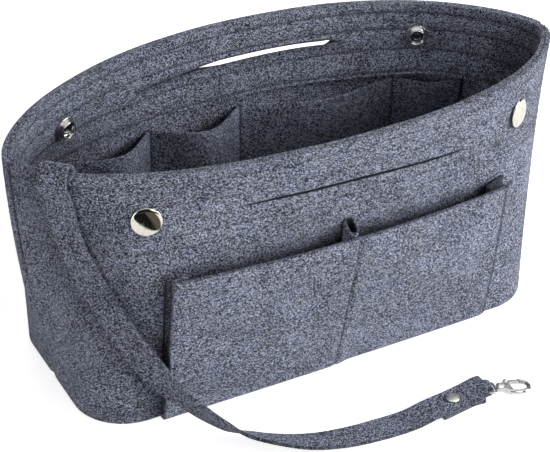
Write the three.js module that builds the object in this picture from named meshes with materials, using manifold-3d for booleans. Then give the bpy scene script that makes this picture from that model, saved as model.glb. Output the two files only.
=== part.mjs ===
// Felt purse organizer insert: an open tote-shaped liner with a lens-shaped mouth, hand slits,
// two snap closures, an outer bellows pocket with a pen loop, inner pockets and a key strap.
// Millimetres, +Z up, front towards -Y, base resting on Z = 0, mouth centred on the Z axis.
import * as THREE from 'three';
import { mergeVertices } from 'three/addons/utils/BufferGeometryUtils.js';
import Module from 'manifold-3d';

const wasm = await Module();
wasm.setup();

// Fits shared by neighbouring pieces
const clearance = 0.3;
const pinClearance = 0.15;

// Felt body
const wallHeight = 147;
const mouthHalfWidth = 151;
const mouthHalfDepth = 70;
const mouthWidthPower = 2.33;
const mouthDepthPower = 1.54;
const mouthEndDrop = 6.3;
const baseHalfWidth = 130.8;
const baseHalfDepth = 57;
const baseCorner = 28;
const baseBack = 12.7;
const frontHollow = 0.6;
const panelFelt = 2.5;
const facingFelt = 2;
const facingDepth = 44;
const wallColumns = 42;
const facingRows = 3;

// Hand slits through each wall and its facing: ends, heights at the left, middle and right, and gape
const frontSlitEnds = [-57.1, 68.2];
const frontSlitHeights = [121.3, 120.6, 116.8];
const frontSlitGape = 1.1;
const backSlitEnds = [-57.5, 64.5];
const backSlitHeights = [122.5, 126.2, 124.7];
const backSlitGape = 2.5;
const backSlitSlope = 0.62;

// Snap closures
const snapPlaces = {
  left: { cap: [73.8, 120.2], cup: [69, 119.8] },
  right: { cap: [69.2, 122.5], cup: [69.5, 125] },
};
const capRadius = 7.5;
const capDome = 2.4;
const snapPostRadius = 2;
const snapFlangeRadius = 5.6;
const studRadius = 3.85;
const studLength = 3.2;
const cupRadius = 5.2;
const cupDepth = 4.5;
const metalSheet = 0.8;

// Outer pocket
const pocketHalfWidth = 93.3;
const pocketHeight = 89;
const pocketFootDepth = 5;
const pocketCornerSpread = 12.2;
const pocketMiddleSpread = 18.9;
const pocketLeftFlare = 3;
const bellowsFelt = 1.5;
const bellowsFold = 8.6;
const rightBellowsTail = 5;

// Pen loop
const loopPlace = 2.8;
const loopWidth = 5.9;
const loopDepth = 9.2;
const loopRound = 2.9;
const loopFelt = 1.3;
const loopLow = 61;
const loopHigh = 90.5;

// Inner pocket strip: sewn lines measured from the middle of the back, and the bulge of each mouth
const stripFelt = 2;
const stripLow = 4.5;
const stripHigh = 97;
const stripSeams = [-104, -47, 6, 97, 138];
const stripBulges = [14, 17, 13, 9];

// Key strap: centre line with the plan direction and the lean of its width, in degrees
const strapWidth = 14.5;
const strapFelt = 1.8;
const tongueWidth = 6.4;
const strapStations = [
  [-124.9, -22.1, 112.0, -49, 0],
  [-127.5, -19.6, 132.0, -49, 0],
  [-133.9, -23.8, 146.4, -49, 4],
  [-137.9, -27.4, 139.0, -49, 8],
  [-135.4, -27.8, 128.0, -49, 12],
  [-132.8, -29.5, 110.0, -50, 13],
  [-129.3, -33.1, 96.5, -49, 20],
  [-124.4, -37.5, 82.0, -44, 25],
  [-116.6, -43.8, 64.0, -35, 30],
  [-108.0, -48.6, 46.0, -30, 36],
  [-100.8, -55.6, 33.0, -42, 37],
  [-93.0, -63.7, 24.0, -65, 36],
  [-84.9, -69.8, 16.0, -86, 50],
  [-75.0, -77.6, 8.8, -100, 46],
  [-66.0, -85.0, 6.0, -126, 32],
  [-56.0, -92.0, 4.4, -120, 24],
  [-41.2, -99.6, 2.8, -110, 12],
  [-23.8, -103.8, 1.6, -100, 4],
  [-5.2, -105.9, 1.3, -93, 0],
  [12.0, -106.5, 1.4, -90, 0],
  [23.0, -106.6, 3.4, -88, 0],
  [37.0, -106.0, 4.1, -86, 0],
  [47.0, -105.0, 4.7, -88, 0],
  [53.0, -104.6, 5.7, -97, 0],
  [57.4, -105.4, 6.1, -105, 0],
  [58.9, -105.8, 5.45, -105, 0],
  [59.5, -106.0, 3.9, -105, 0],
  [58.9, -105.8, 2.35, -105, 0],
  [57.4, -105.4, 1.7, -105, 0],
  [47.0, -104.9, 1.9, -92, 0],
  [37.0, -106.0, 1.9, -83, 0],
  [26.0, -107.6, 1.9, -81, 0],
];
const tongueStation = 26;
const tongueReach = 3.2;

// Rivet through the two strap layers
const rivetStation = [37, -106];
const rivetRadius = 3.4;
const rivetPostRadius = 0.9;
const rivetDome = 1.1;
const rivetPlate = 0.6;
const rivetLow = 0.15;

// Swivel clasp, in its own frame: X towards the hook's nose, Y across, Z through its thickness
const claspPlace = [57.4, -105.4, 3.9];
const claspTurn = -15;
const claspPitch = 6;
const eyeWire = 0.7;
const eyeReach = 2.3;
const eyeSpread = 2;
const postRadius = 0.9;
const headRadius = 1.5;
const headStart = 7.3;
const headEnd = 8.1;
const barrelStart = 5.6;
const barrelEnd = 9.2;
const barrelRadius = 2.4;
const blockThickness = 3.4;
const hookWire = 1.25;
const gateThickness = 1.6;
const gatePivot = [10.6, 0.7];
const gatePinRadius = 0.55;
const gateHeel = 1.5;
const gateReach = 8.4;
const gateInner = 3;
const gateOuter = 4.6;
const springWire = 0.16;
const springRadius = 1.05;
const springTurns = 2;
const springPitch = 0.4;
const seatFloor = -0.35;

// Colours, as heathered blue-grey felt and bright nickel
const felt = { color: 0x6d7280, roughness: 0.95, metalness: 0 };
const innerFelt = { color: 0x565b68, roughness: 0.95, metalness: 0 };
const nickel = { color: 0xcfcac2, roughness: 0.18, metalness: 1 };
const steel = { color: 0xb9b9bb, roughness: 0.3, metalness: 1 };

const front = -1;
const back = 1;
const model = new THREE.Group();
model.name = 'felt_purse_organizer';

function addPiece(name, geometry, finish) {
  const plain = geometry.clone();
  plain.deleteAttribute('normal');
  plain.deleteAttribute('uv');
  const shaped = mergeVertices(plain, 1e-4);
  shaped.computeVertexNormals();
  const mesh = new THREE.Mesh(shaped, new THREE.MeshStandardMaterial(finish));
  mesh.name = name;
  model.add(mesh);
}

function toSolid(geometry) {
  const plain = geometry.clone();
  plain.deleteAttribute('normal');
  plain.deleteAttribute('uv');
  const merged = mergeVertices(plain, 1e-4);
  return new wasm.Manifold(new wasm.Mesh({
    numProp: 3,
    vertProperties: Float32Array.from(merged.getAttribute('position').array),
    triVerts: Uint32Array.from(merged.index.array),
  }));
}

function toGeometry(solid) {
  const mesh = solid.getMesh();
  const geometry = new THREE.BufferGeometry();
  geometry.setAttribute('position', new THREE.BufferAttribute(mesh.vertProperties, 3));
  geometry.setIndex(new THREE.BufferAttribute(mesh.triVerts, 1));
  return geometry;
}

function cutFrom(geometry, cutters) {
  let solid = toSolid(geometry);
  for (const cutter of cutters) {
    solid = solid.subtract(toSolid(cutter));
  }
  return toGeometry(solid);
}

function joined(pieces) {
  let solid = toSolid(pieces[0]);
  for (const piece of pieces.slice(1)) {
    solid = solid.add(toSolid(piece));
  }
  return toGeometry(solid);
}

// A block whose three unit directions are laid along a shape given by a place function
function bent(columns, layers, rows, place) {
  const geometry = new THREE.BoxGeometry(1, 1, 1, columns, layers, rows);
  const position = geometry.getAttribute('position');
  for (let i = 0; i < position.count; i += 1) {
    const point = place(position.getX(i) + 0.5, position.getY(i) + 0.5, position.getZ(i) + 0.5);
    position.setXYZ(i, point.x, point.y, point.z);
  }
  return geometry;
}

function turned(profile, segments) {
  const points = profile.map(([radius, along]) => new THREE.Vector2(radius, along));
  return new THREE.LatheGeometry(points, segments).rotateX(Math.PI / 2);
}

// Half of the mouth's edge, from the left end past the front or the back to the right end
class MouthCurve extends THREE.Curve {
  constructor(side) {
    super();
    this.side = side;
  }

  getPoint(t, target = new THREE.Vector3()) {
    const angle = Math.PI * (1 - t);
    const across = Math.cos(angle);
    const along = Math.max(Math.sin(angle), 0);
    const x = mouthHalfWidth * Math.sign(across) * Math.abs(across) ** (2 / mouthWidthPower);
    const y = this.side * mouthHalfDepth * along ** (2 / mouthDepthPower);
    return target.set(x, y, wallHeight - mouthEndDrop * (x / mouthHalfWidth) ** 2);
  }
}

function baseCurve(side) {
  const path = new THREE.Path();
  const near = baseBack + side * (baseHalfDepth - baseCorner);
  const edge = baseBack + side * baseHalfDepth;
  const inner = baseHalfWidth - baseCorner;
  path.moveTo(-baseHalfWidth, baseBack);
  path.lineTo(-baseHalfWidth, near);
  path.absarc(-inner, near, baseCorner, Math.PI, side * Math.PI / 2, side > 0);
  path.lineTo(inner, edge);
  path.absarc(inner, near, baseCorner, side * Math.PI / 2, 0, side > 0);
  path.lineTo(baseHalfWidth, baseBack);
  return path;
}

const mouthCurves = { [front]: new MouthCurve(front), [back]: new MouthCurve(back) };
const baseCurves = { [front]: baseCurve(front), [back]: baseCurve(back) };
const wallLength = mouthCurves[front].getLength();

// Point of the wall's outer face at a share of its length and of its height
function facePoint(side, share, rise) {
  const top = mouthCurves[side].getPointAt(share);
  const foot = baseCurves[side].getPoint(share);
  const hollow = side === front ? 1 + frontHollow * Math.sin(Math.PI * share) ** 2 : 1;
  const lean = rise ** hollow;
  return new THREE.Vector3(
    foot.x + (top.x - foot.x) * rise,
    foot.y + (top.y - foot.y) * lean,
    top.z * rise,
  );
}

function inwardAt(side, share, rise) {
  if (share <= 0 || share >= 1) {
    return new THREE.Vector3(share <= 0 ? 1 : -1, 0, 0);
  }
  const step = Math.min(0.004, share, 1 - share);
  const ahead = facePoint(side, share + step, rise).sub(facePoint(side, share - step, rise));
  return new THREE.Vector3(side * ahead.y, -side * ahead.x, 0).normalize();
}

// Point of the wall at a depth inward of its outer face, kept clear of the end seams
function wallPoint(side, share, rise, depth) {
  const point = facePoint(side, share, rise);
  point.addScaledVector(inwardAt(side, share, rise), depth);
  if (share <= 0 || share >= 1) {
    point.y += side * clearance / 2;
  }
  return point;
}

// Felt layer of a wall between two depths; rows below and above the facing's lower edge line up in all layers
function wallLayer(side, outer, inner, lowRows) {
  const rows = lowRows + facingRows;
  return bent(wallColumns, 1, rows, (share, layer, rise) => {
    const row = Math.round(rise * rows) - lowRows;
    const level = row < 0 ? facingLow * (1 + row / lowRows) : facingLow + (1 - facingLow) * row / facingRows;
    const depth = side === front ? outer + (inner - outer) * layer : inner + (outer - inner) * layer;
    return wallPoint(side, share, level, depth);
  });
}

// Frame on a wall's outer face with Z pointing out of the bag
function wallFrame(side, distance, height) {
  const share = 0.5 + distance / wallLength;
  const rise = height / facePoint(side, share, 1).z;
  const out = facePoint(side, share + 0.01, rise).sub(facePoint(side, share - 0.01, rise));
  out.cross(facePoint(side, share, rise + 0.02).sub(facePoint(side, share, rise - 0.02)));
  out.multiplyScalar(-side).normalize();
  const turn = new THREE.Quaternion().setFromUnitVectors(new THREE.Vector3(0, 0, 1), out);
  const matrix = new THREE.Matrix4().makeRotationFromQuaternion(turn);
  return matrix.setPosition(facePoint(side, share, rise));
}

const facingOuter = panelFelt + clearance;
const wallStack = facingOuter + facingFelt;
const facingLow = 1 - facingDepth / wallHeight;

// Outer face of a wall at a place along X and a height
function wallAt(side, x, height) {
  let low = 0.02;
  let high = 0.98;
  for (let i = 0; i < 24; i += 1) {
    const middle = (low + high) / 2;
    const point = facePoint(side, middle, height / facePoint(side, middle, 1).z);
    if (point.x < x) {
      low = middle;
    } else {
      high = middle;
    }
  }
  return facePoint(side, low, height / facePoint(side, low, 1).z).y;
}

function wallFrontAt(x, height) {
  return wallAt(front, x, height);
}

// The front slit is a thin lens; the back slit lies closed at its left and gapes over its right part
function slitOpening(side, share) {
  if (side === front) {
    return frontSlitGape * 4 * share * (1 - share);
  }
  const { smoothstep } = THREE.MathUtils;
  return backSlitGape * smoothstep(share, 0.26, 0.42) * (1 - smoothstep(share, 0.94, 1));
}

// The back slit's lips lean, so that the cut drops towards the outside
function slitCutter(side) {
  const ends = side === front ? frontSlitEnds : backSlitEnds;
  const heights = side === front ? frontSlitHeights : backSlitHeights;
  const slope = side === front ? 0 : backSlitSlope;
  const bow = 2 * heights[1] - (heights[0] + heights[2]) / 2;
  return bent(10, 1, 1, (share, layer, rise) => {
    const x = ends[0] + (ends[1] - ends[0]) * share;
    const other = 1 - share;
    const line = heights[0] * other * other + 2 * bow * share * other + heights[2] * share * share;
    const inner = wallAt(side, x, line) + side * -wallStack;
    const away = 3 * wallStack * (2 * layer - 1);
    const lip = (rise - 0.5) * (0.5 + slitOpening(side, share));
    return new THREE.Vector3(x, inner + away, line + lip - slope * away);
  });
}

// Distance along the wall from its middle, from the place's distance to the nearer end
function snapFrame(side, hand) {
  const [fromEnd, height] = side === front ? snapPlaces[hand].cap : snapPlaces[hand].cup;
  const distance = wallLength / 2 - fromEnd;
  return wallFrame(side, hand === 'left' ? -distance : distance, height);
}

function snapHole(side, hand) {
  const hole = new THREE.CylinderGeometry(
    snapPostRadius + clearance, snapPostRadius + clearance, 6 * wallStack, 20,
  );
  hole.rotateX(Math.PI / 2);
  return hole.applyMatrix4(snapFrame(side, hand));
}

function addWalls() {
  const names = { [front]: 'front', [back]: 'back' };
  for (const side of [front, back]) {
    const cutters = [slitCutter(side), snapHole(side, 'left'), snapHole(side, 'right')];
    const panel = wallLayer(side, 0, panelFelt, 3);
    addPiece(`${names[side]}_panel`, cutFrom(panel, cutters), felt);
    const facing = wallLayer(side, facingOuter, wallStack, 0);
    addPiece(`${names[side]}_rim_facing`, cutFrom(facing, cutters), innerFelt);
  }
}

function addBottom() {
  const inset = panelFelt + 2 * clearance;
  const shape = new THREE.Shape();
  const points = [];
  for (const side of [front, back]) {
    for (let i = 0; i < wallColumns; i += 1) {
      const share = side === front ? i / wallColumns : 1 - i / wallColumns;
      const point = baseCurves[side].getPoint(share);
      const inward = inwardAt(side, share, 0);
      points.push(new THREE.Vector2(point.x + inset * inward.x, point.y + inset * inward.y));
    }
  }
  shape.setFromPoints(points);
  const plate = new THREE.ExtrudeGeometry(shape, { depth: panelFelt, bevelEnabled: false });
  addPiece('bottom_panel', plate, innerFelt);
}

// Snap pieces stand on the wall frame: Z = 0 at the outer face, negative inside the bag
function addSnaps() {
  const inside = -(wallStack + 2 * clearance);
  const bore = snapPostRadius + pinClearance;
  const cap = [
    [0, clearance + capDome], [0.4 * capRadius, clearance + 0.94 * capDome],
    [0.7 * capRadius, clearance + 0.7 * capDome], [0.92 * capRadius, clearance + 0.3 * capDome],
    [capRadius, clearance + 0.1], [0.96 * capRadius, clearance],
    [snapPostRadius, clearance], [snapPostRadius, inside - metalSheet], [0, inside - metalSheet],
  ];
  const mouth = studRadius + pinClearance;
  const floor = metalSheet + 0.4;
  const socket = [
    [bore, inside], [cupRadius, inside], [cupRadius, inside - 0.82 * cupDepth],
    [0.96 * cupRadius, inside - 0.95 * cupDepth], [0.88 * cupRadius, inside - cupDepth],
    [mouth, inside - 0.95 * cupDepth], [mouth, inside - floor], [bore, inside - floor], [bore, inside],
  ];
  const stud = [
    [bore, inside], [snapFlangeRadius, inside], [snapFlangeRadius, inside - metalSheet],
    [1.1 * studRadius, inside - 1.3 * metalSheet], [0.92 * studRadius, inside - 0.5 * studLength],
    [studRadius, inside - 0.78 * studLength], [0.88 * studRadius, inside - studLength],
    [bore, inside - studLength], [bore, inside],
  ];
  const post = [
    [0, clearance + metalSheet], [0.8 * snapFlangeRadius, clearance + metalSheet],
    [0.9 * snapFlangeRadius, clearance + 0.5 * metalSheet], [0.9 * snapFlangeRadius, clearance],
    [snapPostRadius, clearance], [snapPostRadius, inside - floor], [0, inside - floor],
  ];
  for (const hand of ['left', 'right']) {
    const onFront = snapFrame(front, hand);
    const onBack = snapFrame(back, hand);
    addPiece(`${hand}_snap_cap`, turnedOut(cap, 20).applyMatrix4(onFront), nickel);
    addPiece(`${hand}_snap_stud`, turnedOut(stud, 16).applyMatrix4(onFront), nickel);
    addPiece(`${hand}_snap_socket`, turnedOut(socket, 16).applyMatrix4(onBack), nickel);
    addPiece(`${hand}_snap_post`, turnedOut(post, 16).applyMatrix4(onBack), nickel);
  }
}

// Turned profile whose points run outside first, then towards the axis at lower heights
function turnedOut(profile, segments) {
  return turned([...profile].reverse(), segments);
}

function pocketFace(across, height) {
  const middle = 1 - across * across;
  const spread = pocketCornerSpread + (pocketMiddleSpread - pocketCornerSpread) * middle;
  const foot = baseBack - baseHalfDepth - pocketFootDepth;
  return foot - spread * Math.max(height / pocketHeight, 0) ** 0.75;
}

// Place along X on the pocket's face; its left edge runs out towards the foot
function pocketAt(across, height) {
  const below = 1 - Math.min(height / pocketHeight, 1);
  return across * (pocketHalfWidth + (across < 0 ? pocketLeftFlare * below : 0));
}

// The pocket's face turns under at its foot and meets the wall there
function addPocketFace() {
  const footRadius = 4;
  const rows = 10;
  const face = bent(16, 1, rows, (share, layer, rise) => {
    const across = 2 * share - 1;
    const inset = panelFelt * layer;
    const foot = pocketAt(across, 0);
    if (rise < 0.5 / rows) {
      return new THREE.Vector3(foot, wallFrontAt(foot, 2) - clearance, inset);
    }
    if (rise < 4.5 / rows) {
      const angle = (Math.round(rise * rows) - 1) / 3 * Math.PI / 2;
      const radius = footRadius - inset;
      const y = pocketFace(across, footRadius) + footRadius - radius * Math.sin(angle);
      return new THREE.Vector3(foot, y, footRadius - radius * Math.cos(angle));
    }
    const height = footRadius + (pocketHeight - footRadius) * (rise * rows - 4) / (rows - 4);
    return new THREE.Vector3(pocketAt(across, height), pocketFace(across, height) + inset, height);
  });
  addPiece('pocket_front', face, felt);
}

// Each bellows is a strip folded inward: a leg on the wall, a tight fold and a leg on the pocket's face
function addBellows(name, hand) {
  const low = 6;
  const tail = hand > 0 ? rightBellowsTail : 0;
  const strip = bent(12, 1, 6, (share, layer, rise) => {
    const height = low + (pocketHeight - low) * rise;
    const edge = Math.abs(pocketAt(hand, height));
    const seam = wallFrontAt(hand * edge, height) - clearance - bellowsFelt / 2;
    const lip = pocketFace(hand, height) + panelFelt + clearance + bellowsFelt / 2;
    const half = (seam - lip) / 2;
    const fold = Math.min(half, Math.max(0.95, 0.3 * half));
    const leg = bellowsFold * (0.5 + 0.5 * rise) - fold;
    const angle = THREE.MathUtils.clamp(2 * share - 1, -0.5, 0.5) * Math.PI;
    const part = Math.min(4 * share, 4 * (1 - share), 1);
    const thickness = bellowsFelt * (hand < 0 ? layer - 0.5 : 0.5 - layer);
    const offset = fold + (half - fold) * (1 - part) + thickness;
    const reach = share < 0.5 ? tail * (1 - part) * rise : 0;
    const x = hand * (edge + reach - leg * part - offset * Math.cos(angle));
    const y = (seam + lip) / 2 - offset * Math.sin(angle);
    const towardWall = THREE.MathUtils.clamp((y - lip) / (seam - lip), 0, 1);
    const wallShift = wallFrontAt(x, height) - wallFrontAt(hand * edge, height);
    const faceShift = pocketFace(x / edge, height) - pocketFace(hand, height);
    return new THREE.Vector3(x, y + wallShift * towardWall + faceShift * (1 - towardWall), height);
  });
  addPiece(name, strip, innerFelt);
}

function addPenLoop() {
  const outer = new THREE.Shape();
  const halfX = loopWidth / 2;
  const halfY = loopDepth / 2;
  function roundedPath(path, x, y, radius) {
    path.moveTo(-x + radius, -y);
    path.lineTo(x - radius, -y);
    path.absarc(x - radius, -y + radius, radius, -Math.PI / 2, 0, false);
    path.lineTo(x, y - radius);
    path.absarc(x - radius, y - radius, radius, 0, Math.PI / 2, false);
    path.lineTo(-x + radius, y);
    path.absarc(-x + radius, y - radius, radius, Math.PI / 2, Math.PI, false);
    path.lineTo(-x, -y + radius);
    path.absarc(-x + radius, -y + radius, radius, Math.PI, Math.PI * 1.5, false);
  }
  roundedPath(outer, halfX, halfY, loopRound);
  const hole = new THREE.Path();
  roundedPath(hole, halfX - loopFelt, halfY - loopFelt, loopRound - loopFelt);
  outer.holes.push(hole);
  const tube = new THREE.ExtrudeGeometry(outer, {
    depth: loopHigh - loopLow, bevelEnabled: false, curveSegments: 4, steps: 2,
  });
  const position = tube.getAttribute('position');
  for (let i = 0; i < position.count; i += 1) {
    const height = loopLow + position.getZ(i);
    const level = Math.min(height, pocketHeight);
    const face = pocketFace(loopPlace / pocketHalfWidth, level) + panelFelt;
    const middle = (wallFrontAt(loopPlace, height) + face) / 2;
    position.setXYZ(i, position.getX(i) + loopPlace, position.getY(i) + middle, height);
  }
  addPiece('pen_loop', tube, felt);
}

function stripBulge(distance) {
  for (let i = 0; i < stripBulges.length; i += 1) {
    const start = stripSeams[i];
    const end = stripSeams[i + 1];
    if (distance <= end) {
      const share = Math.min(Math.max((distance - start) / (end - start), 0), 1);
      return stripBulges[i] * Math.sin(Math.PI * share) ** 1.2;
    }
  }
  return 0;
}

function addInnerPockets() {
  const start = stripSeams[0];
  const length = stripSeams[stripSeams.length - 1] - start;
  const strip = bent(40, 1, 3, (share, layer, rise) => {
    const distance = start + length * share;
    const height = stripLow + (stripHigh - stripLow) * rise;
    const wallShare = 0.5 + distance / wallLength;
    const level = height / facePoint(back, wallShare, 1).z;
    const bulge = stripBulge(distance) * (0.25 + 0.75 * rise);
    const depth = panelFelt + clearance + bulge + stripFelt * (1 - layer);
    return wallPoint(back, wallShare, level, depth);
  });
  addPiece('inner_pocket_strip', strip, innerFelt);
}

// Width of the strap: full along its run, drawn in to a tongue where it passes through the eye
function strapSpan(station) {
  const away = Math.abs(station - tongueStation);
  const blend = THREE.MathUtils.smoothstep(away, tongueReach - 1, tongueReach + 0.3);
  return tongueWidth + (strapWidth - tongueWidth) * blend;
}

function addStrap() {
  const last = strapStations.length - 1;
  const line = new THREE.CatmullRomCurve3(
    strapStations.map(([x, y, z]) => new THREE.Vector3(x, y, z)), false, 'centripetal',
  );
  const strap = bent(84, 1, 1, (share, across, layer) => {
    const middle = line.getPoint(share);
    const ahead = line.getTangent(share);
    const station = share * last;
    const from = Math.min(Math.floor(station), last - 1);
    const part = station - from;
    const [turn, lean] = [3, 4].map((column) => THREE.MathUtils.degToRad(
      strapStations[from][column] * (1 - part) + strapStations[from + 1][column] * part,
    ));
    const width = new THREE.Vector3(
      Math.cos(turn) * Math.cos(lean), Math.sin(turn) * Math.cos(lean), Math.sin(lean),
    );
    width.addScaledVector(ahead, -width.dot(ahead)).normalize();
    const face = new THREE.Vector3().crossVectors(ahead, width);
    middle.addScaledVector(width, strapSpan(station) * (across - 0.5));
    return middle.addScaledVector(face, strapFelt * (layer - 0.5));
  });
  const [x, y] = rivetStation;
  const hole = new THREE.CylinderGeometry(rivetPostRadius + clearance, rivetPostRadius + clearance, 30, 14);
  hole.rotateX(Math.PI / 2).translate(x, y, 5);
  addPiece('key_strap', cutFrom(strap, [hole]), felt);
}

function addRivet() {
  const [x, y] = rivetStation;
  const top = 4.1 + strapFelt / 2 + clearance;
  const cap = [
    [0, top + rivetDome], [0.5 * rivetRadius, top + 0.85 * rivetDome], [0.85 * rivetRadius, top + 0.4 * rivetDome],
    [rivetRadius, top + 0.1], [0.95 * rivetRadius, top], [rivetPostRadius + pinClearance, top],
    [rivetPostRadius + pinClearance, top + 0.4], [0, top + 0.4],
  ];
  const base = [
    [0, top + 0.25], [rivetPostRadius, top + 0.25], [rivetPostRadius, rivetLow + rivetPlate],
    [0.9 * rivetRadius, rivetLow + rivetPlate], [0.9 * rivetRadius, rivetLow], [0, rivetLow],
  ];
  addPiece('strap_rivet_cap', turnedOut(cap, 20).translate(x, y, 0), nickel);
  addPiece('strap_rivet_base', turnedOut(base, 20).translate(x, y, 0), nickel);
}

const claspFrame = new THREE.Matrix4()
  .makeRotationZ(THREE.MathUtils.degToRad(claspTurn))
  .multiply(new THREE.Matrix4().makeRotationY(THREE.MathUtils.degToRad(claspPitch)))
  .setPosition(...claspPlace);

function alongX(profile, segments) {
  return turned(profile, segments).rotateY(Math.PI / 2);
}

function addClaspEye() {
  const ring = new THREE.TorusGeometry(eyeReach, eyeWire, 8, 20);
  const position = ring.getAttribute('position');
  const half = Math.PI / 20;
  ring.rotateZ(half);
  for (let i = 0; i < position.count; i += 1) {
    position.setY(i, position.getY(i) + Math.sign(position.getY(i)) * eyeSpread);
  }
  ring.translate(eyeReach, 0, 0);
  const post = alongX([
    [0, 2 * eyeReach], [postRadius, 2 * eyeReach], [postRadius, headStart],
    [headRadius, headStart], [headRadius, headEnd], [0, headEnd],
  ], 12);
  addPiece('clasp_eye', joined([ring, post]).applyMatrix4(claspFrame), nickel);
}

function addClaspHook() {
  const bore = postRadius + pinClearance;
  const chamber = headRadius + pinClearance;
  const barrel = alongX([
    [bore, barrelStart], [barrelRadius * 0.85, barrelStart], [barrelRadius, barrelStart + 0.5],
    [barrelRadius, barrelEnd], [0, barrelEnd], [0, headEnd + clearance],
    [chamber, headEnd + clearance], [chamber, headStart - clearance], [bore, headStart - clearance],
    [bore, barrelStart],
  ], 18);
  const blockShape = new THREE.Shape();
  blockShape.moveTo(8.6, -2.2);
  blockShape.quadraticCurveTo(10, -4, 13, -5);
  blockShape.lineTo(13, -2.7);
  blockShape.quadraticCurveTo(12.2, -0.6, 12.3, 0.8);
  blockShape.lineTo(12.1, 2.1);
  blockShape.quadraticCurveTo(10.6, 2.9, 8.6, 2.2);
  blockShape.closePath();
  const block = new THREE.ExtrudeGeometry(blockShape, {
    depth: blockThickness, bevelEnabled: false, curveSegments: 8,
  }).translate(0, 0, -blockThickness / 2);
  const line = new THREE.CatmullRomCurve3([
    [11.8, -3.6], [14, -4.3], [17, -4.6], [20, -4], [22.4, -2], [22.7, 0.7], [21.3, 3.1], [16.4, 4.5],
  ].map(([x, y]) => new THREE.Vector3(x, y, 0)));
  const section = new THREE.Shape().absarc(0, 0, hookWire, 0, 2 * Math.PI, false);
  const bar = new THREE.ExtrudeGeometry(section, {
    extrudePath: line, steps: 18, bevelEnabled: false, curveSegments: 5,
  });
  const slot = new THREE.BoxGeometry(4.6, 5, gateThickness + 2 * pinClearance);
  slot.translate(gatePivot[0] - gateHeel - clearance + 2.3, gatePivot[1] - gateHeel - clearance + 2.5, 0);
  const pinHole = new THREE.CylinderGeometry(gatePinRadius + pinClearance, gatePinRadius + pinClearance, 8, 14);
  pinHole.rotateX(Math.PI / 2).translate(gatePivot[0], gatePivot[1], 0);
  const sweepReach = gateReach + clearance;
  const sweepStart = Math.PI * 0.05;
  const sweep = new THREE.Shape();
  sweep.moveTo(gatePivot[0], gatePivot[1]);
  sweep.lineTo(gatePivot[0] + sweepReach * Math.cos(sweepStart), gatePivot[1] + sweepReach * Math.sin(sweepStart));
  sweep.absarc(gatePivot[0], gatePivot[1], sweepReach, sweepStart, Math.PI * 0.3, false);
  const noseCut = new THREE.ExtrudeGeometry(sweep, { depth: 8, bevelEnabled: false, curveSegments: 16 });
  noseCut.translate(0, 0, -4);
  const hook = joined([barrel, block, cutFrom(bar, [noseCut])]);
  const body = cutFrom(hook, [slot, pinHole]);
  addPiece('clasp_hook', body.applyMatrix4(claspFrame), nickel);
}

function addGate() {
  const [pivotX, pivotY] = gatePivot;
  const shape = new THREE.Shape();
  shape.absarc(pivotX, pivotY, gateHeel, Math.PI * 0.75, Math.PI * 1.75, false);
  const innerAngle = Math.asin((gateInner - pivotY) / gateReach);
  const outerAngle = Math.asin((gateOuter - pivotY) / gateReach);
  shape.lineTo(pivotX + 2.2, pivotY + 1.2);
  shape.quadraticCurveTo(pivotX + 3.2, gateInner - 0.1, pivotX + 5, gateInner);
  shape.absarc(pivotX, pivotY, gateReach, innerAngle, outerAngle, false);
  shape.lineTo(pivotX + 2.4, gateOuter);
  shape.quadraticCurveTo(pivotX + 0.2, gateOuter - 0.2, pivotX - 1.06, pivotY + 1.06);
  const lever = new THREE.ExtrudeGeometry(shape, {
    depth: gateThickness, bevelEnabled: false, curveSegments: 10,
  }).translate(0, 0, -gateThickness / 2);
  const knob = new THREE.SphereGeometry(1.35, 12, 8).scale(1, 1, 1.1).translate(pivotX + 0.9, gateOuter - 0.2, 0);
  const pinHole = new THREE.CylinderGeometry(gatePinRadius + pinClearance, gatePinRadius + pinClearance, 8, 14);
  pinHole.rotateX(Math.PI / 2).translate(pivotX, pivotY, 0);
  const springSeat = new THREE.CylinderGeometry(gateHeel + 0.05, gateHeel + 0.05, gateThickness, 20);
  springSeat.rotateX(Math.PI / 2).translate(pivotX, pivotY, seatFloor + gateThickness / 2);
  const gate = cutFrom(joined([lever, knob]), [pinHole, springSeat]);
  addPiece('clasp_gate', gate.applyMatrix4(claspFrame), nickel);

  const reach = blockThickness / 2 + 0.2;
  const pin = new THREE.CylinderGeometry(gatePinRadius, gatePinRadius, 2 * reach, 16);
  pin.rotateX(Math.PI / 2).translate(pivotX, pivotY, 0);
  addPiece('clasp_gate_pin', pin.applyMatrix4(claspFrame), steel);

  const coil = new THREE.CatmullRomCurve3(Array.from({ length: 29 }, (unused, i) => {
    const angle = i / 28 * springTurns * 2 * Math.PI;
    const height = seatFloor + springWire + clearance / 3 + springPitch * springTurns * i / 28;
    return new THREE.Vector3(
      pivotX + springRadius * Math.cos(angle), pivotY + springRadius * Math.sin(angle), height,
    );
  }));
  const wire = new THREE.Shape().absarc(0, 0, springWire, 0, 2 * Math.PI, false);
  const spring = new THREE.ExtrudeGeometry(wire, {
    extrudePath: coil, steps: 32, bevelEnabled: false, curveSegments: 3,
  });
  addPiece('clasp_gate_spring', spring.applyMatrix4(claspFrame), steel);
}

addBottom();
addWalls();
addPocketFace();
addBellows('pocket_left_bellows', -1);
addBellows('pocket_right_bellows', 1);
addPenLoop();
addInnerPockets();
addSnaps();
addStrap();
addRivet();
addClaspEye();
addClaspHook();
addGate();

export default model;
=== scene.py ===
"""Felt purse organizer insert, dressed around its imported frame.

Every piece is in metres in the frame of the solids: +X along the bag, +Y from the pocketed front to the
back, +Z up, with the bottom on the floor.
"""
import logging
import math
from dataclasses import dataclass, field
from enum import Enum
from typing import Iterable, Sequence

import bmesh
import bpy
import numpy as np
from mathutils import Matrix, Vector


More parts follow.
